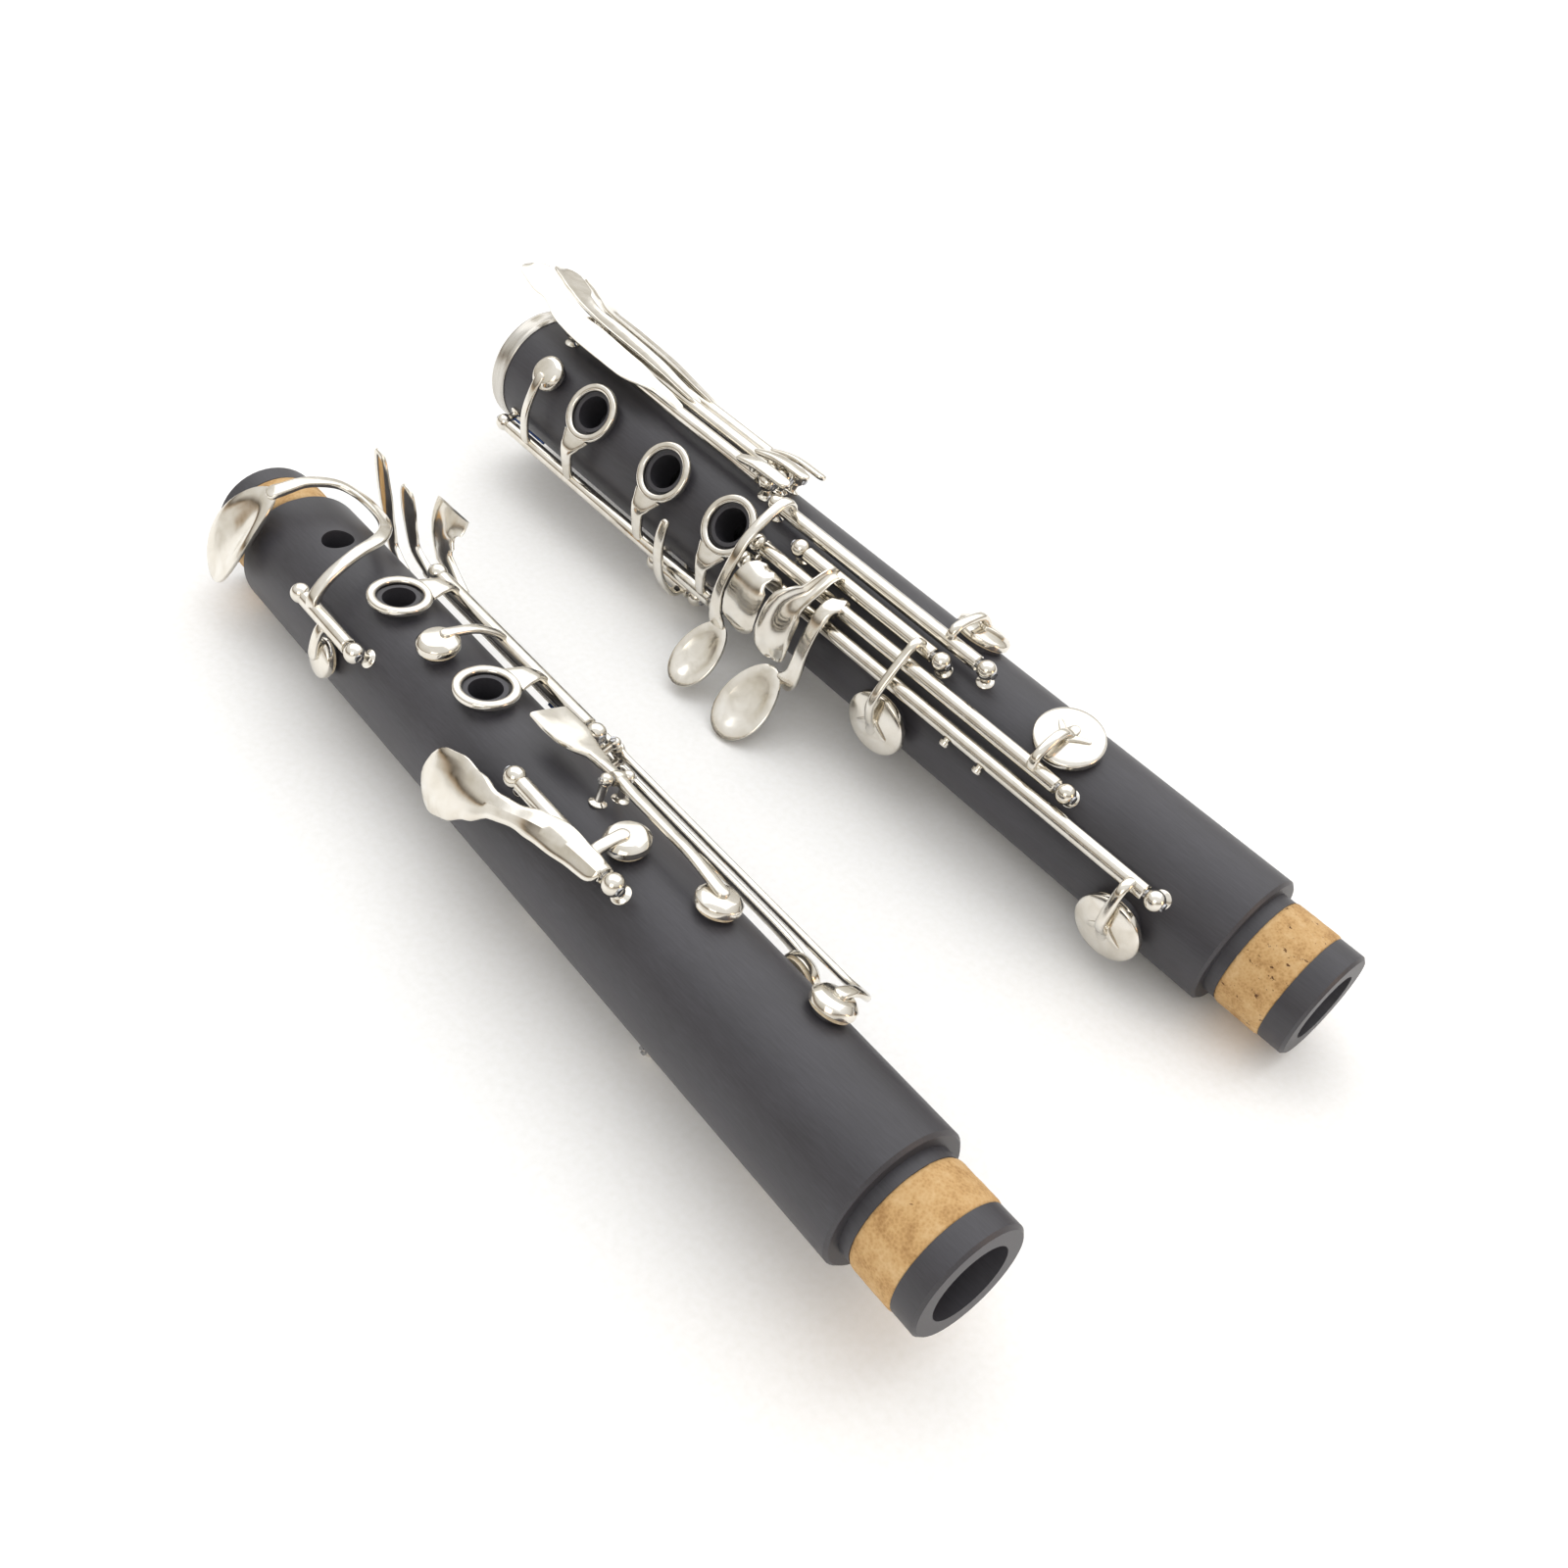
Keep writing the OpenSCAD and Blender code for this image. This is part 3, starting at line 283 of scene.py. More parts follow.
def tenon_cork(name, axes, shoulder_x, mount, turn, body, material):
    """A cork sleeve with eased edges, and the small hollows and lumps of the sheet in its mesh."""
    size = mounts[mount]["dims"]
    long, r, thick = size["length_mm"], size["r_mm"], 1.45
    start = shoulder_x + long * (cork_middle - 0.5)
    bm = bmesh.new()
    steps = 26
    outer = []
    for i in range(steps + 1):
        u = i / steps
        edge = min(u, 1 - u) * long
        fall = 0.35 * max(0.0, 1 - edge / 0.9) ** 2
        outer.append((r - fall, start + long * u))
    inner = [(r - thick, start + long), (r - thick, start)]
    turned(bm, axes.origin, axes.x * turn, outer + inner, 160, closed=True)
    for v in bm.verts:
        off = v.co - axes.origin
        out = off - axes.x * off.dot(axes.x)
        if out.length > (r - thick / 2) * MM:
            lump = noise.noise(v.co * 700) * 0.05 + noise.noise(v.co * 2100) * 0.03 - 0.05
            v.co += out.normalized() * (lump * MM)
    make(bm, name + "_sleeve", body, material, "cork", name, smooth=60)


pale_cork = natural_cork("sanded_cork_close_grain", 0.0)
flecked_cork = natural_cork("sanded_cork_flecked", 0.09)
tenon_cork("barrel_tenon_cork", upper, 0, "barrel_tenon", -1, "upper_joint", pale_cork)
tenon_cork("middle_tenon_cork", upper, upper.length, "middle_tenon", 1, "upper_joint", pale_cork)
tenon_cork("bell_tenon_cork", lower, lower.length, "bell_tenon", 1, "lower_joint", flecked_cork)

# ---- Socket ring ----
# A spun nickel-silver band, pressed on the socket end so that its thin wall can't split. Its mouth is
# rolled and a bead is turned near its inner edge.

# Spun nickel silver, polished but not plated: greyer and softer than the keys, with lathe lines round
# it. The real lines are 0.1 mm apart and are drawn at 0.25 mm to show.
spun, tree, place = new_material("spun_nickel_silver")
stretched = add(tree, "ShaderNodeMapping", {"Vector": place, "Scale": (1, 0.05, 0.05)})
turns = add(tree, "ShaderNodeTexNoise", {"Vector": stretched.outputs["Vector"], "Scale": 4000, "Detail": 3})
grey = add(tree, "ShaderNodeValToRGB", {"Fac": turns.outputs["Fac"]},
           stops=[(0.3, "#bdb9b2"), (0.7, "#d2cfc8")])
soft = add(tree, "ShaderNodeMapRange", {"Value": turns.outputs["Fac"], "To Min": 0.2, "To Max": 0.36})
surface = add(tree, "ShaderNodeBsdfPrincipled", {"Base Color": grey.outputs["Color"], "Metallic": 1.0,
              "Roughness": soft.outputs["Result"]})
finish_material(tree, surface, turns.outputs["Fac"], 0.00001, 0.3)
bm = bmesh.new()
turned(bm, lower.origin, lower.x,
       [(13.9, 5.0), (13.9, 0.4), (14.1, 0.25), (14.4, 0.2), (14.7, 0.35), (14.88, 0.7), (14.9, 1.1),
        (14.8, 1.5), (14.78, 3.5), (14.9, 3.8), (14.9, 4.4), (14.78, 4.7), (14.6, 5.0)], 128, closed=True)
make(bm, "socket_band", "lower_joint", spun, "keywork", "socket_ring")

# ---- Thumb bush ----
# A turned hard-rubber tube, pressed into the back of the upper body so that the thumb ring can drop
# over it.

# Polished hard rubber: near black with a satin shine.
rubber, tree, place = new_material("polished_hard_rubber")
mottle = add(tree, "ShaderNodeTexNoise", {"Vector": place, "Scale": 900, "Detail": 3})
black = add(tree, "ShaderNodeValToRGB", {"Fac": mottle.outputs["Fac"]},
            stops=[(0.3, "#131314"), (0.7, "#1d1c1e")])
gloss = add(tree, "ShaderNodeMapRange", {"Value": mottle.outputs["Fac"], "To Min": 0.24, "To Max": 0.36})
surface = add(tree, "ShaderNodeBsdfPrincipled", {"Base Color": black.outputs["Color"],
              "Roughness": gloss.outputs["Result"], "IOR": 1.6})
finish_material(tree, surface, mottle.outputs["Fac"], 0.00001, 0.4)
dress("thumb_bush", rubber)


# ---- Rods and pins ----
# Steel rods carry the hinge tubes between the posts, and short steel pins carry the side keys, the
# throat A key and the register key. Each end has a screwdriver slot.
def axes_of(joint):
    return upper if joints[joint]["parent"] == "upper_joint" else lower


def hinges_on(axes):
    """The joints that turn on a rod or a pin of one of the two bodies."""
    return [name for name, joint in joints.items() if joint["type"] == "hinge" and axes_of(name) is axes]


def rod_of(joint):
    """The two ends of the rod on a joint's axis, and its radius in millimetres. Its points are those
    that lie within a millimetre of the axis and 80 mm of the joint."""
    at = Vector(joints[joint]["pos_m"])
    axis = Vector(joints[joint]["axis"]).normalized()
    if axis.dot(axes_of(joint).x) < -0.5:
        axis = -axis
    reach, radius = [], 0
    for part in ("upper_rods", "lower_rods"):
        for v in nodes[part].data.vertices:
            step = (v.co - at).dot(axis)
            off = (v.co - at - axis * step).length
            if off < 1 * MM and abs(step) < 80 * MM:
                reach.append(step)
                radius = max(radius, off / MM)
    return at + axis * min(reach), at + axis * max(reach), radius


def slotted_end(bm, base, inward, side, r):
    """The two half-round lands that leave a screwdriver slot across a rod's end."""
    other = inward.cross(side)
    for half in (-1, 1):
        rim = []
        for i in range(13):
            a = math.radians(14 + 152 * i / 12)
            rim.append((side * math.cos(a) + other * math.sin(a) * half) * (r * 0.98 * MM))
        low = [bm.verts.new(base + inward * (0.3 * MM) + p) for p in rim]
        top = [bm.verts.new(base + p) for p in rim]
        join_rings(bm, [low, top])


# Drawn silver steel, worn bright: a cooler grey than the plating, rubbed unevenly by the tubes in
# patches under a millimetre long.
steel, tree, place = new_material("drawn_silver_steel")
rubbed = add(tree, "ShaderNodeTexNoise", {"Vector": place, "Scale": 1500, "Detail": 3})
grey = add(tree, "ShaderNodeValToRGB", {"Fac": rubbed.outputs["Fac"]},
           stops=[(0.3, "#9b9ca0"), (0.7, "#c2c2c4")])
polish = add(tree, "ShaderNodeMapRange", {"Value": rubbed.outputs["Fac"], "To Min": 0.2, "To Max": 0.34})
surface = add(tree, "ShaderNodeBsdfPrincipled", {"Base Color": grey.outputs["Color"], "Metallic": 1.0,
              "Roughness": polish.outputs["Result"]})
finish_material(tree, surface, rubbed.outputs["Fac"], 0.00001, 0.3)

for half, axes in (("upper", upper), ("lower", lower)):
    bm = bmesh.new()
    for joint in hinges_on(axes):
        start, end, r = rod_of(joint)
        axis = (end - start).normalized()
        size = (end - start).length / MM
        turned(bm, start, axis, [(0, 0.25), (r, 0.25), (r, size - 0.25), (0, size - 0.25)], 32)
        side = axis.orthogonal().normalized()
        slotted_end(bm, start, axis, side, r)
        slotted_end(bm, end, -axis, side, r)
    make(bm, half + "_rods_turned", half + "_joint", steel, "rods", half + "_rods")

# ---- Springs ----
# Blued steel needles, driven through the posts. They lie along the hinge tubes and push each key back
# to its rest.

# Blued spring steel: the colours that heat leaves, from deep blue to a greyed purple.
blued, tree, place = new_material("blued_spring_steel")
heat = add(tree, "ShaderNodeTexNoise", {"Vector": place, "Scale": 300, "Detail": 2})
blue = add(tree, "ShaderNodeValToRGB", {"Fac": heat.outputs["Fac"]},
           stops=[(0.3, "#27375c"), (0.55, "#3b5486"), (0.8, "#6d6a78")])
surface = add(tree, "ShaderNodeBsdfPrincipled", {"Base Color": blue.outputs["Color"], "Metallic": 1.0,
              "Roughness": 0.28})
finish_material(tree, surface, heat.outputs["Fac"], 0.00001, 0.3)
dress("upper_springs", blued)
dress("lower_springs", blued)


# ---- Posts ----
# Ball-headed posts, turned in one piece from nickel silver and screwed into the body on a threaded
# stem. Each has a thin flange that beds on the body and a waisted stem under its ball.

# Nickel plate over nickel silver, buffed on a wheel: a warm white metal with soft mirror shine. The
# wheel leaves slow waves some millimetres long, and handling leaves thin smears.
nickel, tree, place = new_material("buffed_nickel_plate")
smear = add(tree, "ShaderNodeTexNoise", {"Vector": place, "Scale": 240, "Detail": 4, "Distortion": 0.6})
wave = add(tree, "ShaderNodeTexNoise", {"Vector": place, "Scale": 330, "Detail": 1})
warm = add(tree, "ShaderNodeValToRGB", {"Fac": smear.outputs["Fac"]},
           stops=[(0.3, "#d6d0c4"), (0.5, "#e2ddd3"), (0.75, "#ebe8e1")])
shine = add(tree, "ShaderNodeMapRange", {"Value": smear.outputs["Fac"], "From Min": 0.3, "From Max": 0.7,
            "To Min": 0.09, "To Max": 0.2})
plate = add(tree, "ShaderNodeBsdfPrincipled", {"Base Color": warm.outputs["Color"], "Metallic": 1.0,
            "Roughness": shine.outputs["Result"]})
finish_material(tree, plate, wave.outputs["Fac"], 0.00006, 0.35)


def turned_post(bm, ball, direction, ball_r, stem_r, depth):
    """A post whose ball is centred at a point, with its stem going down to the body's surface."""
    foot = -depth
    waist = stem_r * 0.92
    profile = [(0, foot - 1.6), (stem_r, foot - 1.6), (stem_r, foot - 0.1), (stem_r + 0.75, foot - 0.1),
               (stem_r + 0.8, foot + 0.2), (stem_r + 0.65, foot + 0.38), (stem_r + 0.15, foot + 0.5)]
    neck = -math.sqrt(max(ball_r ** 2 - (waist + 0.12) ** 2, 0.01))
    profile += [(waist, foot + 0.75), (waist, neck - 0.25), (waist + 0.12, neck)]
    start = math.degrees(math.atan2(neck, waist + 0.12))
    for i in range(1, 13):
        a = math.radians(start + (90 - start) * i / 12)
        profile.append((ball_r * math.cos(a) if i < 12 else 0, ball_r * math.sin(a)))
    turned(bm, ball, direction, profile, 32)


for half, axes in (("upper", upper), ("lower", lower)):
    bm = bmesh.new()
    for joint in hinges_on(axes):
        start, end, r = rod_of(joint)
        axis = (end - start).normalized()
        on_pin = r < 0.8
        ball_r, stem_r, sunk = (1.25, 0.9, 0.25) if on_pin else (2.1, 1.1, 0)
        middle = (start + end) / 2 - axes.origin
        middle_out = (middle - axes.x * middle.dot(axes.x)).normalized()
        for spot in (start + axis * (ball_r + 0.15) * MM, end - axis * (ball_r + 0.15) * MM):
            off = spot - axes.origin
            out = off - axes.x * off.dot(axes.x)
            direction = middle_out if on_pin else out.normalized()
            depth = out.dot(direction) / MM - axes.body
            turned_post(bm, spot, direction, ball_r, stem_r, depth + sunk)
    make(bm, half + "_posts_turned", half + "_joint", nickel, "keywork", half + "_posts")


# ---- Pads and cups ----
# Each pad is felt on card under a thin skin, shellacked into its cup. The cups are pressed from sheet,
# with a thin upright wall and a low dome, or a flat top on the ring, throat, trill and side keys.

# Split bladder skin over white felt: cream, slightly glossy, with fine creases.
bladder, tree, place = new_material("bladder_skin_pad")
crease = add(tree, "ShaderNodeTexNoise", {"Vector": place, "Scale": 1300, "Detail": 5, "Distortion": 1.2})
cream = add(tree, "ShaderNodeValToRGB", {"Fac": crease.outputs["Fac"]},
            stops=[(0.3, "#cdb998"), (0.7, "#ece0c8")])
dull = add(tree, "ShaderNodeMapRange", {"Value": crease.outputs["Fac"], "To Min": 0.4, "To Max": 0.6})
surface = add(tree, "ShaderNodeBsdfPrincipled", {"Base Color": cream.outputs["Color"],
              "Roughness": dull.outputs["Result"]})
finish_material(tree, surface, crease.outputs["Fac"], 0.00005, 0.5)
for name in nodes:
    if "_pad" in name:
        dress(name, bladder)

# How far a shut cup's top stands off its body: the seat, the pad's gap and the cup's own height
cup_top = 0.5 + 0.12 + 2.3


def disc(name, axes):
    """Centre, outward axis and radius of a pad."""
    points = [v.co for v in nodes[name].data.vertices]
    low = Vector([min(p[i] for p in points) for i in range(3)])
    high = Vector([max(p[i] for p in points) for i in range(3)])
    middle = (low + high) / 2
    off = middle - axes.origin
    guess = (off - axes.x * off.dot(axes.x)).normalized()
    rim = [p - middle for p in points]
    axis = sum((p for p in rim if p.dot(guess) > 0), Vector()).normalized()
    radius = max((p - axis * p.dot(axis)).length for p in rim) / MM
    return middle, axis, radius


def cup(bm, pad, axes, flat=False):
    """A cup round its pad, with a low dome, or with a bevel and a flat top."""
    middle, axis, inner = disc(pad, axes)
    r = inner + 0.52
    profile = [(0, 0.8), (inner + 0.02, 0.8), (inner + 0.02, -0.2), (r - 0.12, -0.2), (r, -0.1)]
    if flat:
        profile += [(r, 1.1), (r - 0.15, 1.3), (r - 1.0, 2.1), (r - 1.2, 2.18), (0, 2.2)]
    else:
        profile += [(r, 0.75), (r - 0.08, 1.0), (r - 0.28, 1.2)]
        for i in range(1, 11):
            u = 1 - i / 10
            profile.append(((r - 0.28) * u, 1.2 + 1.0 * math.cos(u * math.pi / 2) ** 0.85))
    turned(bm, middle, axis, profile, 56)


# ---- Right-hand ring key ----
# Three finger rings and a vent cup share one hinge tube on the player's right. The arms are struck
# wide at the rings and taper down to the tube; springs hold the rings just above their chimneys.
def oblong(square):
    """The section of a forged bar: an oblong with round corners, squarer as the number grows."""
    angles = [2 * math.pi * i / 24 for i in range(24)]
    return [(math.copysign(abs(math.cos(a)) ** (2 / square), math.cos(a)),
             math.copysign(abs(math.sin(a)) ** (2 / square), math.sin(a))) for a in angles]


def flow_line(axes, stations, face):
    """Close points on a smooth line through the stations: place, outward direction, width, thickness."""
    spots = [axes.at(*station[:3]) for station in stations]
    outs = [face or axes.out(station[0]) for station in stations]
    last = len(spots) - 1
    line = []
    for k in range(last):
        a, b, c, d = spots[max(k - 1, 0)], spots[k], spots[k + 1], spots[min(k + 2, last)]
        for i in range(12):
            u = i / 12
            point = 0.5 * (2 * b + (c - a) * u + (2 * a - 5 * b + 4 * c - d) * u * u
                           + (3 * b - a - 3 * c + d) * u ** 3)
            ease = u * u * (3 - 2 * u)
            width, thick = [stations[k][n] * (1 - ease) + stations[k + 1][n] * ease for n in (3, 4)]
            line.append((point, outs[k].lerp(outs[k + 1], u), width, thick))
    line.append((spots[last], outs[last], stations[last][3], stations[last][4]))
    return line


def section_places(total, tips):
    """Where a bar's sections stand along it: close together in its round tips, 1.1 mm apart between."""
    start, end = tips
    inner = max(total - sum(tips), 0.1)
    steps = max(4, int(inner / 1.1))
    rounding = [1 - math.cos(math.radians(15 * i)) for i in range(6)]
    places = [start * share for share in rounding] if start else []
    places += [start + inner * i / steps for i in range(steps + 1)]
    places += [total - end * share for share in reversed(rounding)] if end else []
    return [min(max(place, 0.0), total) for place in places]


def tip_share(place, total, tips):
    """How much of its full section a bar has at a place: all of it, or less inside a round tip."""
    share = 1.0
    for reach, tip in ((place, tips[0]), (total - place, tips[1])):
        if tip and reach < tip:
            share = min(share, math.sqrt(max(1 - (1 - reach / tip) ** 2, 0)))
    return max(share, 0.06)


def strap(bm, axes, stations, across=None, face=None, square=2.8, bow=0.0, ridge=0.0, ends=(True, True),
          shape=None):
    """A forged bar swept through stations of (angle, radius, place, width, thickness). across holds
    the direction of its width and face that of its outer side. bow lifts the edges of its face, ridge
    lifts a crease along its middle, ends says which ends are rounded, and shape gives the section
    where it isn't a rounded oblong."""
    shape = shape or oblong(square)
    line = flow_line(axes, stations, face)
    length = [0.0]
    for (p, *_), (q, *_) in zip(line, line[1:]):
        length.append(length[-1] + (q - p).length / MM)
    total = length[-1]
    tips = [line[0][2] / 2 if ends[0] else 0.0, line[-1][2] / 2 if ends[1] else 0.0]
    rings = []
    last_side = last_rise = None
    k = 0
    for place in section_places(total, tips):
        while k < len(length) - 2 and length[k + 1] < place:
            k += 1
        u = min(max((place - length[k]) / max(length[k + 1] - length[k], 1e-9), 0), 1)
        p, out = [line[k][n].lerp(line[k + 1][n], u) for n in (0, 1)]
        width, thick = [line[k][n] * (1 - u) + line[k + 1][n] * u for n in (2, 3)]
        along = (line[min(k + 3, len(line) - 1)][0] - line[max(k - 2, 0)][0]).normalized()
        side = (across - along * across.dot(along)) if across else along.cross(out)
        side.normalize()
        if rings and side.dot(last_side) < 0:
            side = -side
        rise = side.cross(along).normalized()
        if rise.dot(last_rise if rings else out) < 0:
            rise = -rise
        last_side, last_rise = side, rise
        share = tip_share(place, total, tips)
        ring = []
        for cx, cy in shape:
            lift = bow * cx * cx * share
            if ridge and cy > 0:
                lift += ridge * max(0.0, 1 - abs(cx) * 2.2) * share
            ring.append(bm.verts.new(p + side * (cx * width / 2 * share * MM)
                                     + rise * ((cy * thick / 2 * share ** 0.5 + lift) * MM)))
        rings.append(ring)
    join_rings(bm, rings)


def hinge_tube(bm, joint):
    """The drawn tube that turns on a joint's rod, faced off square with a small chamfer."""
    start, end, rod = rod_of(joint)
    r, bore, short = 1.7, rod + 0.05, 4.5
    low, high = short, (end - start).length / MM - short
    turned(bm, start, end - start,
           [(bore, low), (r - 0.2, low), (r, low + 0.2), (r, high - 0.2), (r - 0.2, high), (bore, high)],
           36, closed=True)


# How far the middle of a finger ring lies over its body
ring_level = 1.05


def finger_ring(bm, axes, x, hole_r, phi=0):
    """A rounded ring that drops over a tone hole's chimney."""
    middle, half, tall = hole_r + 2.2, 0.95, 0.85
    profile = []
    for i in range(20):
        a = 2 * math.pi * i / 20
        cx = math.copysign(abs(math.cos(a)) ** 0.75, math.cos(a))
        cy = math.copysign(abs(math.sin(a)) ** 0.75, math.sin(a))
        profile.append((middle + cx * half, cy * tall))
    turned(bm, axes.at(phi, axes.body + ring_level, x), axes.out(phi), profile, 64, closed=True)


def ring_arm(bm, axes, x, hole_r, phi, line, ring_phi=0, wide=8.4):
    """The tapered arm from a hinge tube to a finger ring."""
    turn = 1 if phi > ring_phi else -1
    edge = hole_r + 2.3
    top = axes.body + ring_level
    reach = math.degrees(math.atan2(edge, top))
    near = math.hypot(edge, top)
    joins = math.degrees(math.atan2(edge + 3.2, top + 0.15))
    mid = math.hypot(edge + 3.2, top + 0.15)
    strap(bm, axes, [(phi, line, x, 3.4, 2.2),
                     (phi - turn * 7, line + 0.35, x, 2.7, 1.7),
                     (ring_phi + turn * (joins + 5), mid + 0.4, x, 3.5, 1.6),
                     (ring_phi + turn * joins, mid, x, 5.2, 1.5),
                     (ring_phi + turn * reach, near, x, wide, 1.5)], ends=(False, False))


def swing(bm, joint, degrees):
    """Turns a finished key about its hinge to where its spring holds it."""
    axes = axes_of(joint)
    bmesh.ops.rotate(bm, verts=bm.verts, cent=Vector(joints[joint]["pos_m"]),
                     matrix=Matrix.Rotation(math.radians(degrees), 3, axes.x))


bm = bmesh.new()
hinge_tube(bm, "lower_ring_hinge")
for x in (37, 64, 87):
    finger_ring(bm, lower, x, 4)
    ring_arm(bm, lower, x, 4, -62, 18.2)
strap(bm, lower, [(-62, 18.2, 20, 3.2, 2), (-54, 18.7, 20, 2.6, 1.5), (-34, 18.4, 20, 2.4, 1.4),
                  (-14, 18.0, 20, 2.4, 1.4), (1, 18.1, 20, 3, 1.3)], ends=(False, True))
swing(bm, "lower_ring_hinge", 3)
cup(bm, "lower_ring_vent_pad", lower, flat=True)
make(bm, "lower_ring_key_forged", "lower_ring_key", nickel, "keywork", "lower_ring_key")

# ---- Sliver key ----
# The slim banana-shaped lever between the second and third rings, with a small cup let into the
# body. The right ring finger rocks it on a short tube of its own.
bm = bmesh.new()
hinge_tube(bm, "sliver_hinge")
strap(bm, lower, [(-92, 18.8, 75.2, 2.6, 2.4), (-89, 20.4, 75.4, 2.4, 1.8), (-81, 21.6, 75.6, 2.6, 1.5),
                  (-60, 21.95, 75.8, 3, 1.4), (-36, 21.95, 75.6, 2.8, 1.4), (-21, 21.8, 75.4, 2.2, 1.4)],
      ends=(False, True))
strap(bm, lower, [(-92, 18.8, 72.5, 3, 2), (-100, 18.0, 72.5, 2.6, 1.2), (-112, 16.6, 72.5, 3, 1.1)],
      ends=(False, True))
cup(bm, "sliver_pad", lower)
make(bm, "sliver_key_forged", "sliver_key", nickel, "keywork", "sliver_key")


# ---- Right-hand little-finger keys ----
# E and F have tall saddle-shaped touches that fold down over the hinge lines; A-flat and F-sharp end
# in dished ovals that hang beside the body. Each tube carries a round arm to its large cup.
def cup_arm(bm, axes, x, phi, pad_phi, level=21.3):
    """A round-backed arm that leaves a hinge tube, clears its neighbours and lands on a cup."""
    turn = 1 if pad_phi > phi else -1
    span = abs(pad_phi - phi)
    land = axes.body + cup_top + 0.75
    strap(bm, axes, [(phi, axes.line, x, 3, 2.6), (phi + turn * 1.5, axes.line + 2.3, x, 2.3, 1.9),
                     (phi + turn * 8, level, x, 2.2, 1.7),
                     (phi + turn * span * 0.62, level - 0.3, x, 2.1, 1.6),
                     (phi + turn * span * 0.84, (level + land) / 2, x, 2.2, 1.5),
                     (pad_phi - turn, land, x, 3, 1.2), (pad_phi + turn * 8, land - 0.2, x, 2, 0.8)],
          square=2.3, ends=(False, True), across=axes.x)
    for sign in (-1, 1):
        strap(bm, axes, [(pad_phi - turn * 6, land + 0.1, x, 1.8, 1),
                         (pad_phi, land - 0.15, x + sign * 2.2, 1.4, 0.9),
                         (pad_phi + turn * 5, land - 0.55, x + sign * 4.2, 0.9, 0.6)])


def dished_oval(bm, root, tip, face, width, dish=1.0, bend=0.0):
    """An egg-shaped touch, hammered into a hollow inside a flat rim, and bent lengthwise to a curve."""
    wall = 1.1
    middle = (root + tip) / 2
    along = (tip - root) / 2
    straight = along.normalized()
    face = (face - straight * face.dot(straight)).normalized()
    side = face.cross(straight) * (width / 2 * MM)
    top = [(0.0, -dish), (0.25, -dish * 0.93), (0.5, -dish * 0.62), (0.66, -dish * 0.25), (0.78, -0.03),
           (0.84, 0), (0.95, 0), (0.99, -0.12)]
    low = [(1.0, -0.4), (0.985, -wall + 0.2), (0.95, -wall), (0.8, -wall - 0.05), (0.62, -wall - dish * 0.35),
           (0.4, -wall - dish * 0.75), (0.0, -wall - dish * 0.95)]
    rings = []
    for share, height in top + low:
        if share == 0:
            rings.append([bm.verts.new(middle + face * ((height + bend) * MM))])
            continue
        ring = []
        for i in range(48):
            a = 2 * math.pi * i / 48
            reach = math.cos(a) * share
            lift = height + bend * (1 - reach * reach)
            ring.append(bm.verts.new(middle + along * reach + face * (lift * MM)
                                     + side * (math.sin(a) * share * (1 + 0.12 * math.cos(a)))))
        rings.append(ring)
    join_rings(bm, rings)


# The section of the E and F touches: a rounded ridge along the far edge and a hollow face beside it
saddle = [(-1, -0.25), (-0.98, 0.4), (-0.9, 0.82), (-0.78, 1), (-0.64, 0.98), (-0.53, 0.76), (-0.44, 0.4),
          (-0.32, 0.04), (-0.12, -0.2), (0.15, -0.3), (0.45, -0.22), (0.72, 0), (0.88, 0.2), (0.98, 0.18),
          (1, -0.06), (0.9, -0.3), (0.7, -0.52), (0.42, -0.7), (0.1, -0.76), (-0.2, -0.7), (-0.5, -0.55),
          (-0.8, -0.5), (-0.96, -0.42)]
bm = bmesh.new()
hinge_tube(bm, "e_hinge")
cup_arm(bm, lower, 207, -12, -52)
strap(bm, lower, [(-12, 18.4, 107.4, 4, 2.8), (-8, 20.4, 107, 4, 2.6), (-9, 21.8, 105.6, 5.4, 2.8),
                  (-14, 22.4, 104.3, 8.6, 3.4), (-22, 22.4, 104, 9.6, 3.6), (-32, 22.1, 104, 9.8, 3.6),
                  (-42, 21.5, 104, 9.4, 3.2), (-51, 20.8, 104, 7.8, 2.4)], across=lower.x, shape=saddle,
      ends=(False, True))
# Two mushroom-headed catches on the tube, which hold the needle springs that push this key open
for x in (160, 169):
    turned(bm, lower.at(-12, lower.line, x), lower.out(-100),
           [(0, 0), (0.7, 0), (0.7, 2.1), (1.15, 2.2), (1.15, 2.9), (0.8, 3.3), (0, 3.3)], 24)
swing(bm, "e_hinge", -7)
cup(bm, "e_pad", lower)
make(bm, "e_key_forged", "e_key", nickel, "keywork", "e_key")

bm = bmesh.new()
hinge_tube(bm, "f_hinge")
cup_arm(bm, lower, 143, 18, -48, 21.5)
strap(bm, lower, [(18, 18.6, 118.4, 3.4, 2.6), (17, 20.7, 118.2, 3.4, 2), (10, 21.6, 117.8, 3.6, 1.9),
                  (-2, 22, 117.2, 4.2, 2.4), (-9, 22.4, 116, 6.4, 3), (-15, 22.6, 115.2, 8.8, 3.5),
                  (-22, 22.5, 115, 9.4, 3.6), (-32, 22.2, 115, 9.4, 3.6), (-42, 21.6, 115, 8.8, 3.2),
                  (-51, 20.8, 115, 7.8, 2.4)], across=lower.x, shape=saddle, ends=(False, True))
swing(bm, "f_hinge", -5)
cup(bm, "f_pad", lower)
make(bm, "f_key_forged", "f_key", nickel, "keywork", "f_key")


def oval_spot(x, out):
    """A place on the plane in which both ovals lie, leaning away from the body."""
    return lower.at(5, 12.2, x) - lower.out(95) * (out * MM)


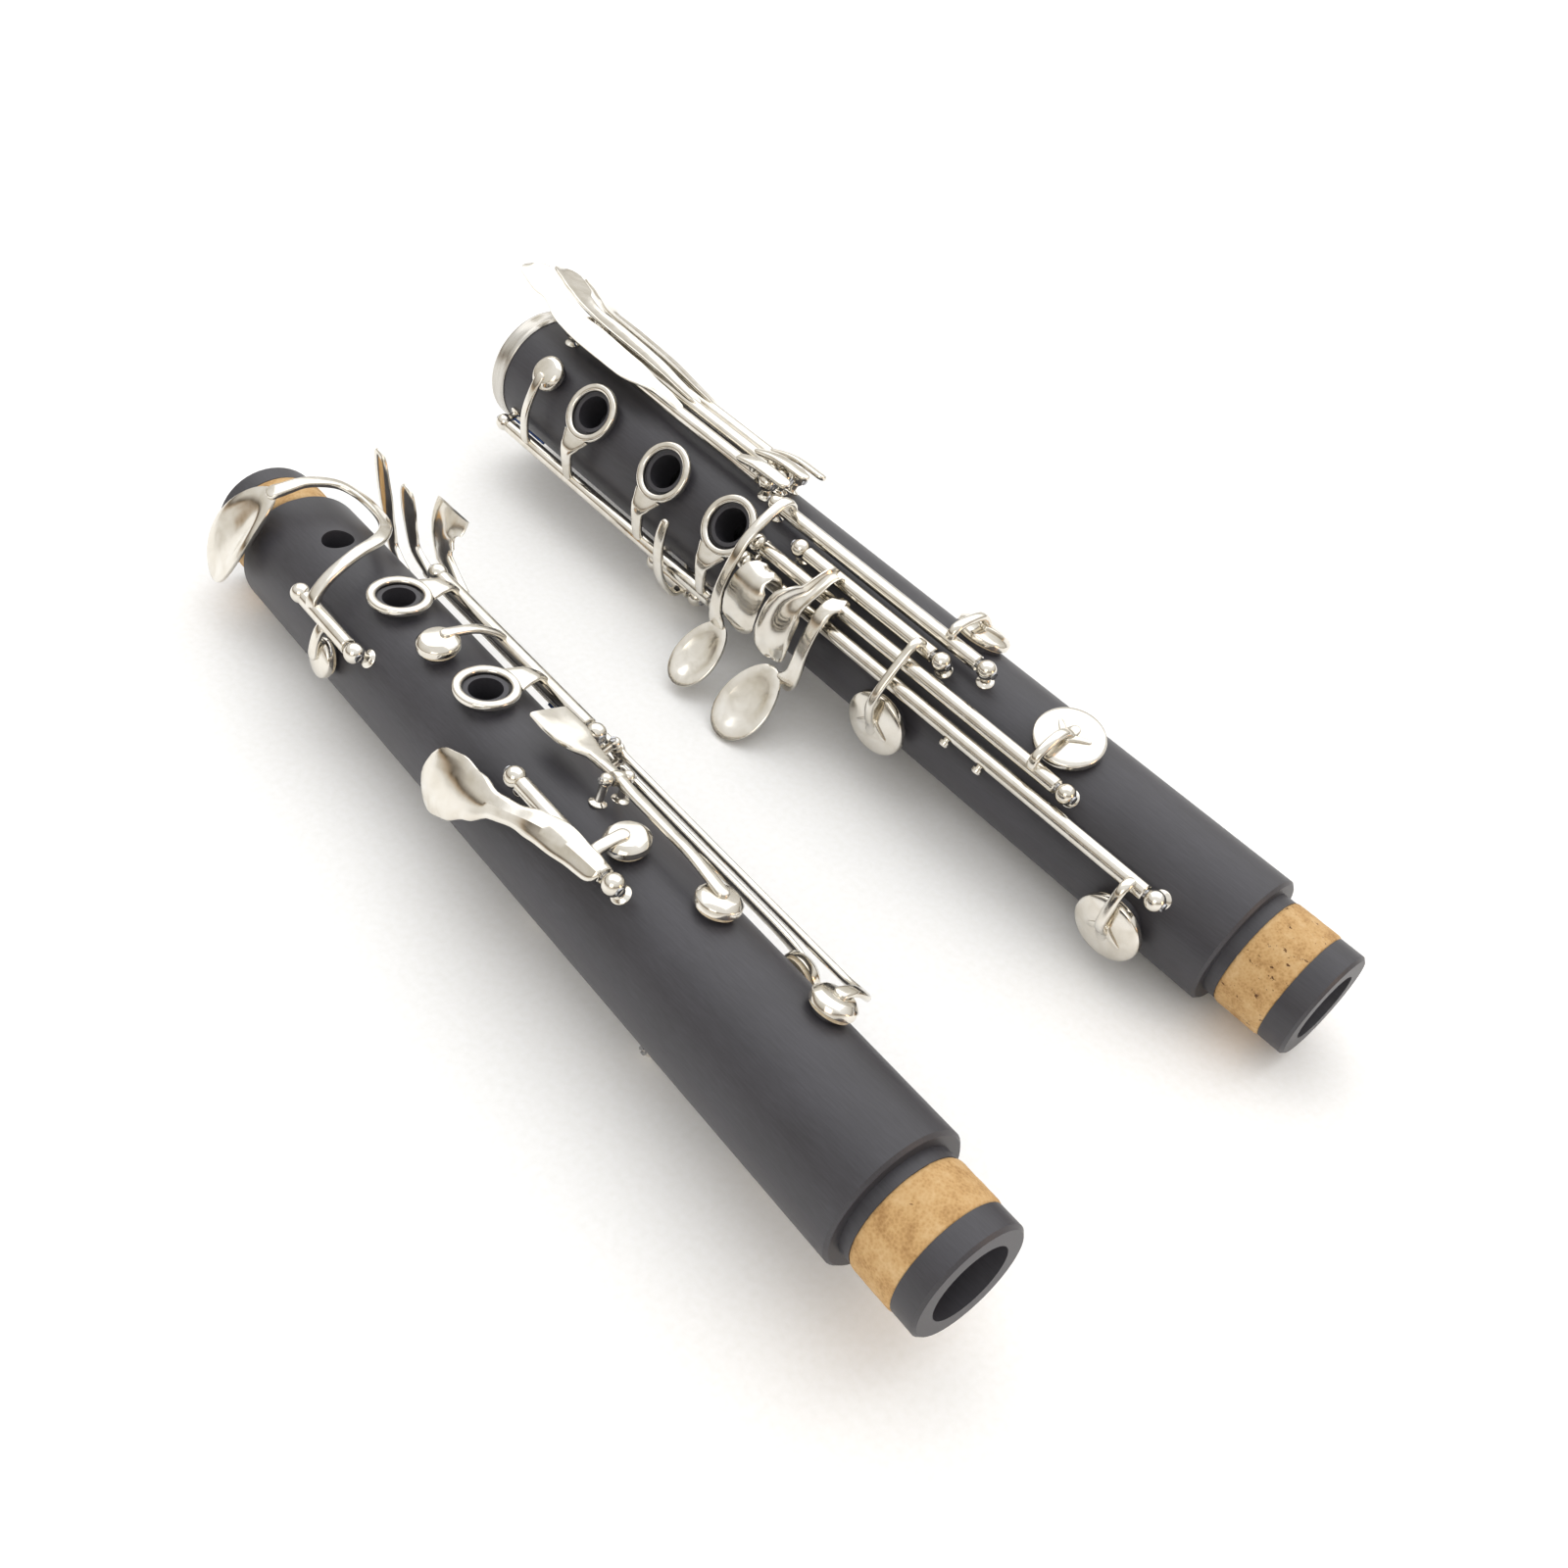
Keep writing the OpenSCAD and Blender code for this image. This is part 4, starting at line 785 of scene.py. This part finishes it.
bm = bmesh.new()
hinge_tube(bm, "ab_hinge")
cup_arm(bm, lower, 178, 3, 36)
strap(bm, lower, [(3, 18.4, 123, 5, 2.4), (2, 20.8, 122.8, 4, 1.8), (-7, 21.9, 122.4, 3.4, 1.6),
                  (-28, 21.95, 122.5, 3.2, 1.5), (-44, 22.1, 122.2, 3.6, 1.5), (-52, 22.6, 121.2, 4.4, 1.4),
                  (-57.5, 23.1, 119, 7, 1.2)], square=3.6, ends=(False, True))
dished_oval(bm, oval_spot(116.4, 18.6), oval_spot(116.4, 37.9), lower.out(5), 13)
cup(bm, "ab_pad", lower)
make(bm, "ab_key_forged", "ab_key", nickel, "keywork", "ab_key")

bm = bmesh.new()
hinge_tube(bm, "fsharp_hinge")
cup_arm(bm, lower, 146, 33, 72)
strap(bm, lower, [(33, 18.4, 97.2, 3, 2.4), (34, 21.2, 97.2, 2.6, 1.8), (26, 22.9, 97.2, 2.6, 1.6),
                  (0, 23.05, 97.2, 2.6, 1.5), (-28, 23.05, 97.2, 2.6, 1.5), (-44, 23.05, 97.4, 3.4, 1.5),
                  (-52, 23.1, 98, 5, 1.4), (-58, 23.5, 98.8, 6.6, 1.2)], ends=(False, True))
dished_oval(bm, oval_spot(99.2, 18.9), oval_spot(99.2, 36), lower.out(5), 11)
cup(bm, "fsharp_pad", lower)
make(bm, "fsharp_key_forged", "fsharp_key", nickel, "keywork", "fsharp_key")

# ---- Left-hand levers ----
# Three long levers over the top of the lower joint. Each is a hinge tube with a thin blade, a little
# hollow along its face, that runs out past the socket into a leaf for the little finger, and a foot
# that lies over the right-hand keys.
for name, phi, leaf_phi, leaf_x, broad, shift in (
        ("e_lever", 42, 47, -2, 7.6, 4), ("f_lever", 58, 68, 0, 5.2, 0), ("fsharp_lever", 74, 90, 2, 5, 0)):
    bm = bmesh.new()
    hinge_tube(bm, name + "_hinge")
    # The blade and its leaf, and the short riser that joins the blade to the tube
    half = (phi + leaf_phi) / 2
    blade = phi - shift
    strap(bm, lower, [(phi, 18.9, 56, 2.2, 1.4), (phi, 19.8, 48, 3.4, 1.2),
                      (blade, 20.8, 38, broad - 0.6, 1.2), (blade, 21.3, 24, broad, 1.3),
                      (blade + 1, 21.4, 15, broad - 1, 1.4), (half, 21.7, leaf_x + 8, 5, 1.4),
                      (leaf_phi, 22.2, leaf_x + 3, 7.4, 1.3), (leaf_phi + 3, 23.0, leaf_x - 2.5, 8, 1.2),
                      (leaf_phi + 4, 23.4, leaf_x - 6, 7, 1.1)], bow=0.6, square=3.4)
    strap(bm, lower, [(phi, 18.2, 21, 2.8, 3), (phi, 21.2, 21, 2.8, 3)], face=lower.x, ends=(False, False))
    # The foot over the right-hand keys, and its riser
    strap(bm, lower, [(phi, 18.8, 76, 2.2, 1.6), (phi, 20.4, 80.5, 3, 1.6), (phi, 21.3, 85, 3.4, 1.5),
                      (phi, 21.35, 92.8, 3, 1.4)])
    strap(bm, lower, [(phi, 18.2, 82, 2.6, 2.6), (phi, 21.2, 82, 2.6, 2.6)], face=lower.x,
          ends=(False, False))
    make(bm, name + "_forged", name, nickel, "keywork", name)

# ---- Thumb rest ----
# A cast hook on the back of the lower joint that hangs on the right thumb. Its foot is let down on
# the body by two countersunk screws.
bm = bmesh.new()
strap(bm, lower, [(180, 15.3, 61.2, 9.5, 1.5), (180, 15.3, 66, 11.8, 1.6), (180, 15.35, 71, 11.8, 1.7),
                  (180, 16.4, 73.6, 11.8, 1.9), (180, 18.6, 73.9, 11.8, 1.7), (180, 21.3, 73.7, 11.8, 1.6),
                  (180, 22.4, 72.2, 11.6, 1.6), (180, 22.6, 69.6, 10, 1.5)],
      across=lower.out(90), square=4.5)
make(bm, "thumb_rest_cast", "lower_joint", nickel, "keywork", "thumb_rest")
dress("thumb_rest_screws", steel)

# ---- Left-hand ring key ----
# Two finger rings with a vent cup between them, on one hinge tube at the player's right. It is forged
# and held up like the right hand's, with smaller rings.
bm = bmesh.new()
hinge_tube(bm, "upper_ring_hinge")
for x in (119, 152):
    finger_ring(bm, upper, x, 3.3)
    ring_arm(bm, upper, x, 3.3, -48, 17.5, wide=7.2)
strap(bm, upper, [(-48, 17.5, 134, 3.2, 2), (-40, 18.0, 134, 2.6, 1.5), (-22, 17.8, 134, 2.4, 1.4),
                  (-6, 17.4, 134, 2.4, 1.4), (4, 17.5, 134, 3, 1.2)], ends=(False, True))
swing(bm, "upper_ring_hinge", 3)
cup(bm, "upper_ring_vent_pad", upper, flat=True)
make(bm, "upper_ring_key_forged", "upper_ring_key", nickel, "keywork", "upper_ring_key")

# ---- Thumb ring key ----
# One ring round the thumb bush at the back, on a short tube of its own. The thumb presses it down over
# the bush.
bm = bmesh.new()
hinge_tube(bm, "thumb_ring_hinge")
finger_ring(bm, upper, 90, 3.3, 180)
ring_arm(bm, upper, 90, 3.3, -146, 17.1, ring_phi=-180, wide=7.2)
swing(bm, "thumb_ring_hinge", -3)
make(bm, "thumb_ring_key_forged", "thumb_ring_key", nickel, "keywork", "thumb_ring_key")

# ---- C-sharp key ----
# The left little finger's long key: a dished spoon past the lower end of the joint, on a flat arm that
# runs back round the third finger hole and over to its short tube and cup on the player's left.
bm = bmesh.new()
hinge_tube(bm, "csharp_hinge")
strap(bm, upper, [(51, 17.5, 160.8, 3.4, 2.4), (46, 18.9, 161.4, 3, 1.8), (30, 19.0, 162.6, 2.9, 1.5),
                  (8, 18.95, 164.4, 2.8, 1.5), (-12, 18.95, 167.4, 2.8, 1.5), (-26, 18.95, 173, 2.8, 1.5),
                  (-32, 18.95, 180, 2.8, 1.5), (-30, 18.95, 187, 2.8, 1.5), (-20, 18.95, 191, 2.9, 1.5),
                  (-2, 18.95, 192.6, 3, 1.5), (14, 19.0, 193, 3.6, 1.5), (24, 19.2, 194, 5, 1.3)],
      square=3.6, ends=(False, True))
dished_oval(bm, upper.at(19, 19.3, 193.8), upper.at(98, 19.6, 200), upper.out(58), 13.6, dish=1.2, bend=2.6)
strap(bm, upper, [(50, 17.5, 156, 3, 2), (57, 18.1, 156, 2.5, 1.5), (67, 17.8, 156, 2.5, 1.4),
                  (78, 17.5, 156, 3, 1.2)], ends=(False, True))
cup(bm, "csharp_pad", upper)
make(bm, "csharp_key_forged", "csharp_key", nickel, "keywork", "csharp_key")

# ---- Throat G-sharp key ----
# A broad leaf for the left first finger, creased down its middle, that narrows through a bent neck
# to a short hinge tube with a flat plate along it and a small cup on top.
bm = bmesh.new()
hinge_tube(bm, "gsharp_hinge")
strap(bm, upper, [(30, 18.6, 67, 4.6, 1.6), (31, 18.7, 72, 5.4, 1.7), (33, 18.8, 78, 6.4, 1.7),
                  (37, 18.9, 83.5, 5.6, 1.6), (41.5, 19, 88, 4.2, 1.5), (46, 19.2, 92.6, 4.8, 1.4),
                  (51, 19.3, 97.5, 8.6, 1.2), (56.5, 19.1, 103, 12, 1.1), (62, 18.8, 108, 12.4, 1.1),
                  (66, 18.6, 112.2, 11, 1.1)], bow=-0.25, ridge=0.3)
strap(bm, upper, [(28, 17.5, 72, 3.2, 2.2), (22, 18.0, 72, 2.6, 1.5), (10, 17.7, 72, 2.5, 1.3),
                  (1, 17.5, 72, 3, 1.2)], ends=(False, True))
cup(bm, "gsharp_pad", upper, flat=True)
make(bm, "gsharp_key_forged", "gsharp_key", nickel, "keywork", "gsharp_key", smooth=30)


# ---- Throat A key, trill keys and side keys ----
# Slim rocking levers on pins between two small posts, with a cup at the barrel end. Those on the
# player's right end in leaves that stand up beside the first finger, the throat A in a flat pad.
def rocker(bm, joint, phi, x_pad, pad_phi, x_pivot):
    """The lever from its cup to just past the pivot, with the barrel that turns on the pin."""
    land = upper.body + cup_top + 0.7
    start, end, pin = rod_of(joint)
    bore = pin + 0.05
    turned(bm, (start + end) / 2, end - start,
           [(bore, -1.1), (1.25, -1.1), (1.4, -0.9), (1.4, 0.9), (1.25, 1.1), (bore, 1.1)], 32, closed=True)
    if pad_phi == phi:
        cup_end = [(phi, land + 0.2, x_pad - 1.2, 2.8, 1.1), (phi, land + 0.5, x_pad + 2, 2.8, 1.3)]
    else:
        turn = 1 if pad_phi > phi else -1
        cup_end = [(pad_phi + turn * 3, land + 0.2, x_pad, 2.8, 1.1),
                   (pad_phi - turn * 12, land + 1, x_pad, 2.4, 1.3),
                   (phi + turn * 10, 18.5, x_pad + 0.6, 2.4, 1.4), (phi + turn, 18.5, x_pad + 5, 2.4, 1.5)]
    strap(bm, upper, cup_end + [(phi, 18.5, x_pad + 10, 2.3, 1.5),
                                (phi, 18.5, (x_pad + x_pivot) / 2, 2.2, 1.5),
                                (phi, 18.55, x_pivot - 6, 2.4, 1.6), (phi, 18.6, x_pivot, 2.1, 2),
                                (phi, 18.55, x_pivot + 6, 2.4, 1.6)], ends=(True, False))


def leaf_spot(height, x, width, thick, plane=18.7):
    """A station of an upright leaf beside the body, at a height above the body's axis."""
    return (math.degrees(math.atan2(-plane, height)), math.hypot(plane, height), x, width, thick)


for name, phi, pivot, pad_x, touch, pad_phi, leaf in (
        ("trill_key_1", -68, 100, 27, 160, -30,
         [(8, 166.5, 5, 1.9, 18.9), (9.8, 169.4, 10, 1.5, 19.4), (13, 171.8, 12.6, 1.3, 21),
          (17.6, 172.2, 12.6, 1.1, 23.2)]),
        ("trill_key_2", -86, 108, 42, 176, -86,
         [(3.4, 180, 3, 1.8), (7, 182.2, 4.6, 1.5), (12.5, 183.4, 6.2, 1.3), (18.2, 184, 5, 1.1)]),
        ("side_key_3", -104, 116, 74, 187, -104,
         [(-2, 190.6, 3, 1.8), (3, 192.4, 4.4, 1.5), (10, 194, 6, 1.3), (16, 195.2, 5.6, 1.2),
          (20.6, 196, 4, 1.1)]),
        ("side_key_4", -122, 124, 98, 172, -122, None)):
    bm = bmesh.new()
    rocker(bm, name + "_pivot", phi, pad_x, pad_phi, pivot)
    lever = [(phi, 18.55, pivot + 5, 1.6, 2.4), (phi, 18.5, (pivot + touch) / 2, 1.5, 2.3),
             (phi, 18.5, touch - 4, 1.6, 2.3), (phi, 18.6, touch, 2.2, 2.1)]
    if leaf:
        strap(bm, upper, lever, face=upper.out(phi + 90), ends=(False, True))
        strap(bm, upper, [(phi, 18.6, touch - 3, 2, 2)] + [leaf_spot(*spot) for spot in leaf],
              face=upper.out(-90), bow=0.35, ends=(False, name != "trill_key_1"))
    else:
        strap(bm, upper, lever + [(phi, 19, touch + 5, 4, 1.6), (phi, 19.2, touch + 9, 4.4, 1.3)],
              face=upper.out(phi + 90), bow=0.2, ends=(False, True))
    cup(bm, name.replace("key", "pad"), upper, flat=True)
    make(bm, name + "_forged", name, nickel, "keywork", name)

bm = bmesh.new()
rocker(bm, "a_pivot", -17, 53, -17, 84)
strap(bm, upper, [(-17, 18.55, 88, 2.4, 1.6), (-17, 18.7, 91, 3.4, 1.5), (-14.5, 18.9, 94, 6.2, 1.4),
                  (-13, 19.2, 97, 8, 1.4), (-12, 19.4, 100.5, 8.2, 1.3), (-12, 19.4, 104, 8, 1.2)],
      square=5, ends=(False, False))
cup(bm, "a_pad", upper, flat=True)
make(bm, "a_key_forged", "a_key", nickel, "keywork", "a_key")

# ---- Register key ----
# The left thumb's key at the back, which opens the vent for the upper register: a spoon-shaped touch,
# a cross tube between two posts and a straight arm to its cup.
bm = bmesh.new()
hinge_tube(bm, "register_pivot")
strap(bm, upper, [(180, 17.5, 21, 2.8, 1.2), (180, 17.8, 27, 3, 1.4), (180, 17.6, 40, 3, 1.5),
                  (180, 17.6, 50, 4, 1.8), (180, 17.7, 55, 4.6, 2), (180, 17.2, 60, 6.4, 1.6),
                  (180, 16.7, 66, 8.2, 1.4), (180, 16.6, 73, 9.8, 1.3), (180, 16.7, 79.5, 9.2, 1.2)],
      bow=0.3)
cup(bm, "register_pad", upper)
make(bm, "register_key_forged", "register_key", nickel, "keywork", "register_key")

# ---- Studio ----
# The joints lie on a flat white card under a large soft light, with a weaker fill and a small warm
# lamp that puts gold in the keys.
floor_z = cad_box[0][2]
bm = bmesh.new()
bmesh.ops.create_grid(bm, x_segments=12, y_segments=12, size=4.0)
mesh = bpy.data.meshes.new("white_card")
bm.to_mesh(mesh)
bm.free()
card = bpy.data.objects.new("white_card", mesh)
card.location = (0.1, 0, floor_z - 0.0002)
bpy.context.scene.collection.objects.link(card)
# Matt white card: a soft white with no texture that shows, faintly uneven.
white, tree, place = new_material("matt_white_card")
pulp = add(tree, "ShaderNodeTexNoise", {"Vector": place, "Scale": 700, "Detail": 3})
paper = add(tree, "ShaderNodeValToRGB", {"Fac": pulp.outputs["Fac"]},
            stops=[(0.3, "#f7f7f6"), (0.7, "#fcfcfc")])
surface = add(tree, "ShaderNodeBsdfPrincipled", {"Base Color": paper.outputs["Color"], "Roughness": 0.9,
              "Specular IOR Level": 0.0})
finish_material(tree, surface)
mesh.materials.append(white)


def softbox(name, spot, size, watts, colour):
    """A flat light of that width and height, turned to the middle of the two joints."""
    lamp = bpy.data.lights.new(name, "AREA")
    lamp.shape = "RECTANGLE"
    lamp.size, lamp.size_y = size
    lamp.energy = watts
    lamp.color = to_linear(colour)[:3]
    made = bpy.data.objects.new(name, lamp)
    made.location = spot
    made.rotation_euler = (Vector((0.12, -0.04, 0.0)) - Vector(spot)).to_track_quat("-Z", "Y").to_euler()
    bpy.context.scene.collection.objects.link(made)


softbox("overhead_softbox", (-0.2, 0.4, 0.95), (2.1, 1.5), 8.5, "#ffffff")
softbox("side_fill", (0.5, -0.75, 0.5), (0.5, 0.5), 1.2, "#fffaf2")
softbox("warm_lamp", (0.75, 0.2, 0.12), (0.12, 0.2), 0.35, "#ffc894")

# The room that the bright metal mirrors: a pale floor, a dark brown wall low down and a white ceiling.
# Behind the joints it is plain white.
world = bpy.data.worlds.new("studio_room")
world.use_nodes = True
bpy.context.scene.world = world
tree = world.node_tree
tree.nodes.clear()
sky = add(tree, "ShaderNodeTexCoord").outputs["Generated"]
height = add(tree, "ShaderNodeVectorMath", {0: sky, 1: (-0.12, 0.17, 1.0)}, operation="DOT_PRODUCT")
room = add(tree, "ShaderNodeValToRGB", {"Fac": height.outputs["Value"]},
           stops=[(0.0, "#efece6"), (0.08, "#b39c7e"), (0.13, "#40372e"), (0.2, "#a39c93"), (0.3, "#dedad2"),
                  (0.75, "#ffffff")])
glow = add(tree, "ShaderNodeBackground", {"Color": room.outputs["Color"], "Strength": 1.0})
backdrop = add(tree, "ShaderNodeBackground", {"Color": (1, 1, 1, 1), "Strength": 1.0})
seen = add(tree, "ShaderNodeLightPath").outputs["Is Camera Ray"]
blend = add(tree, "ShaderNodeMixShader", {0: seen, 1: glow.outputs[0], 2: backdrop.outputs[0]})
add(tree, "ShaderNodeOutputWorld", {"Surface": blend.outputs[0]})
bpy.context.scene.view_settings.view_transform = "Standard"
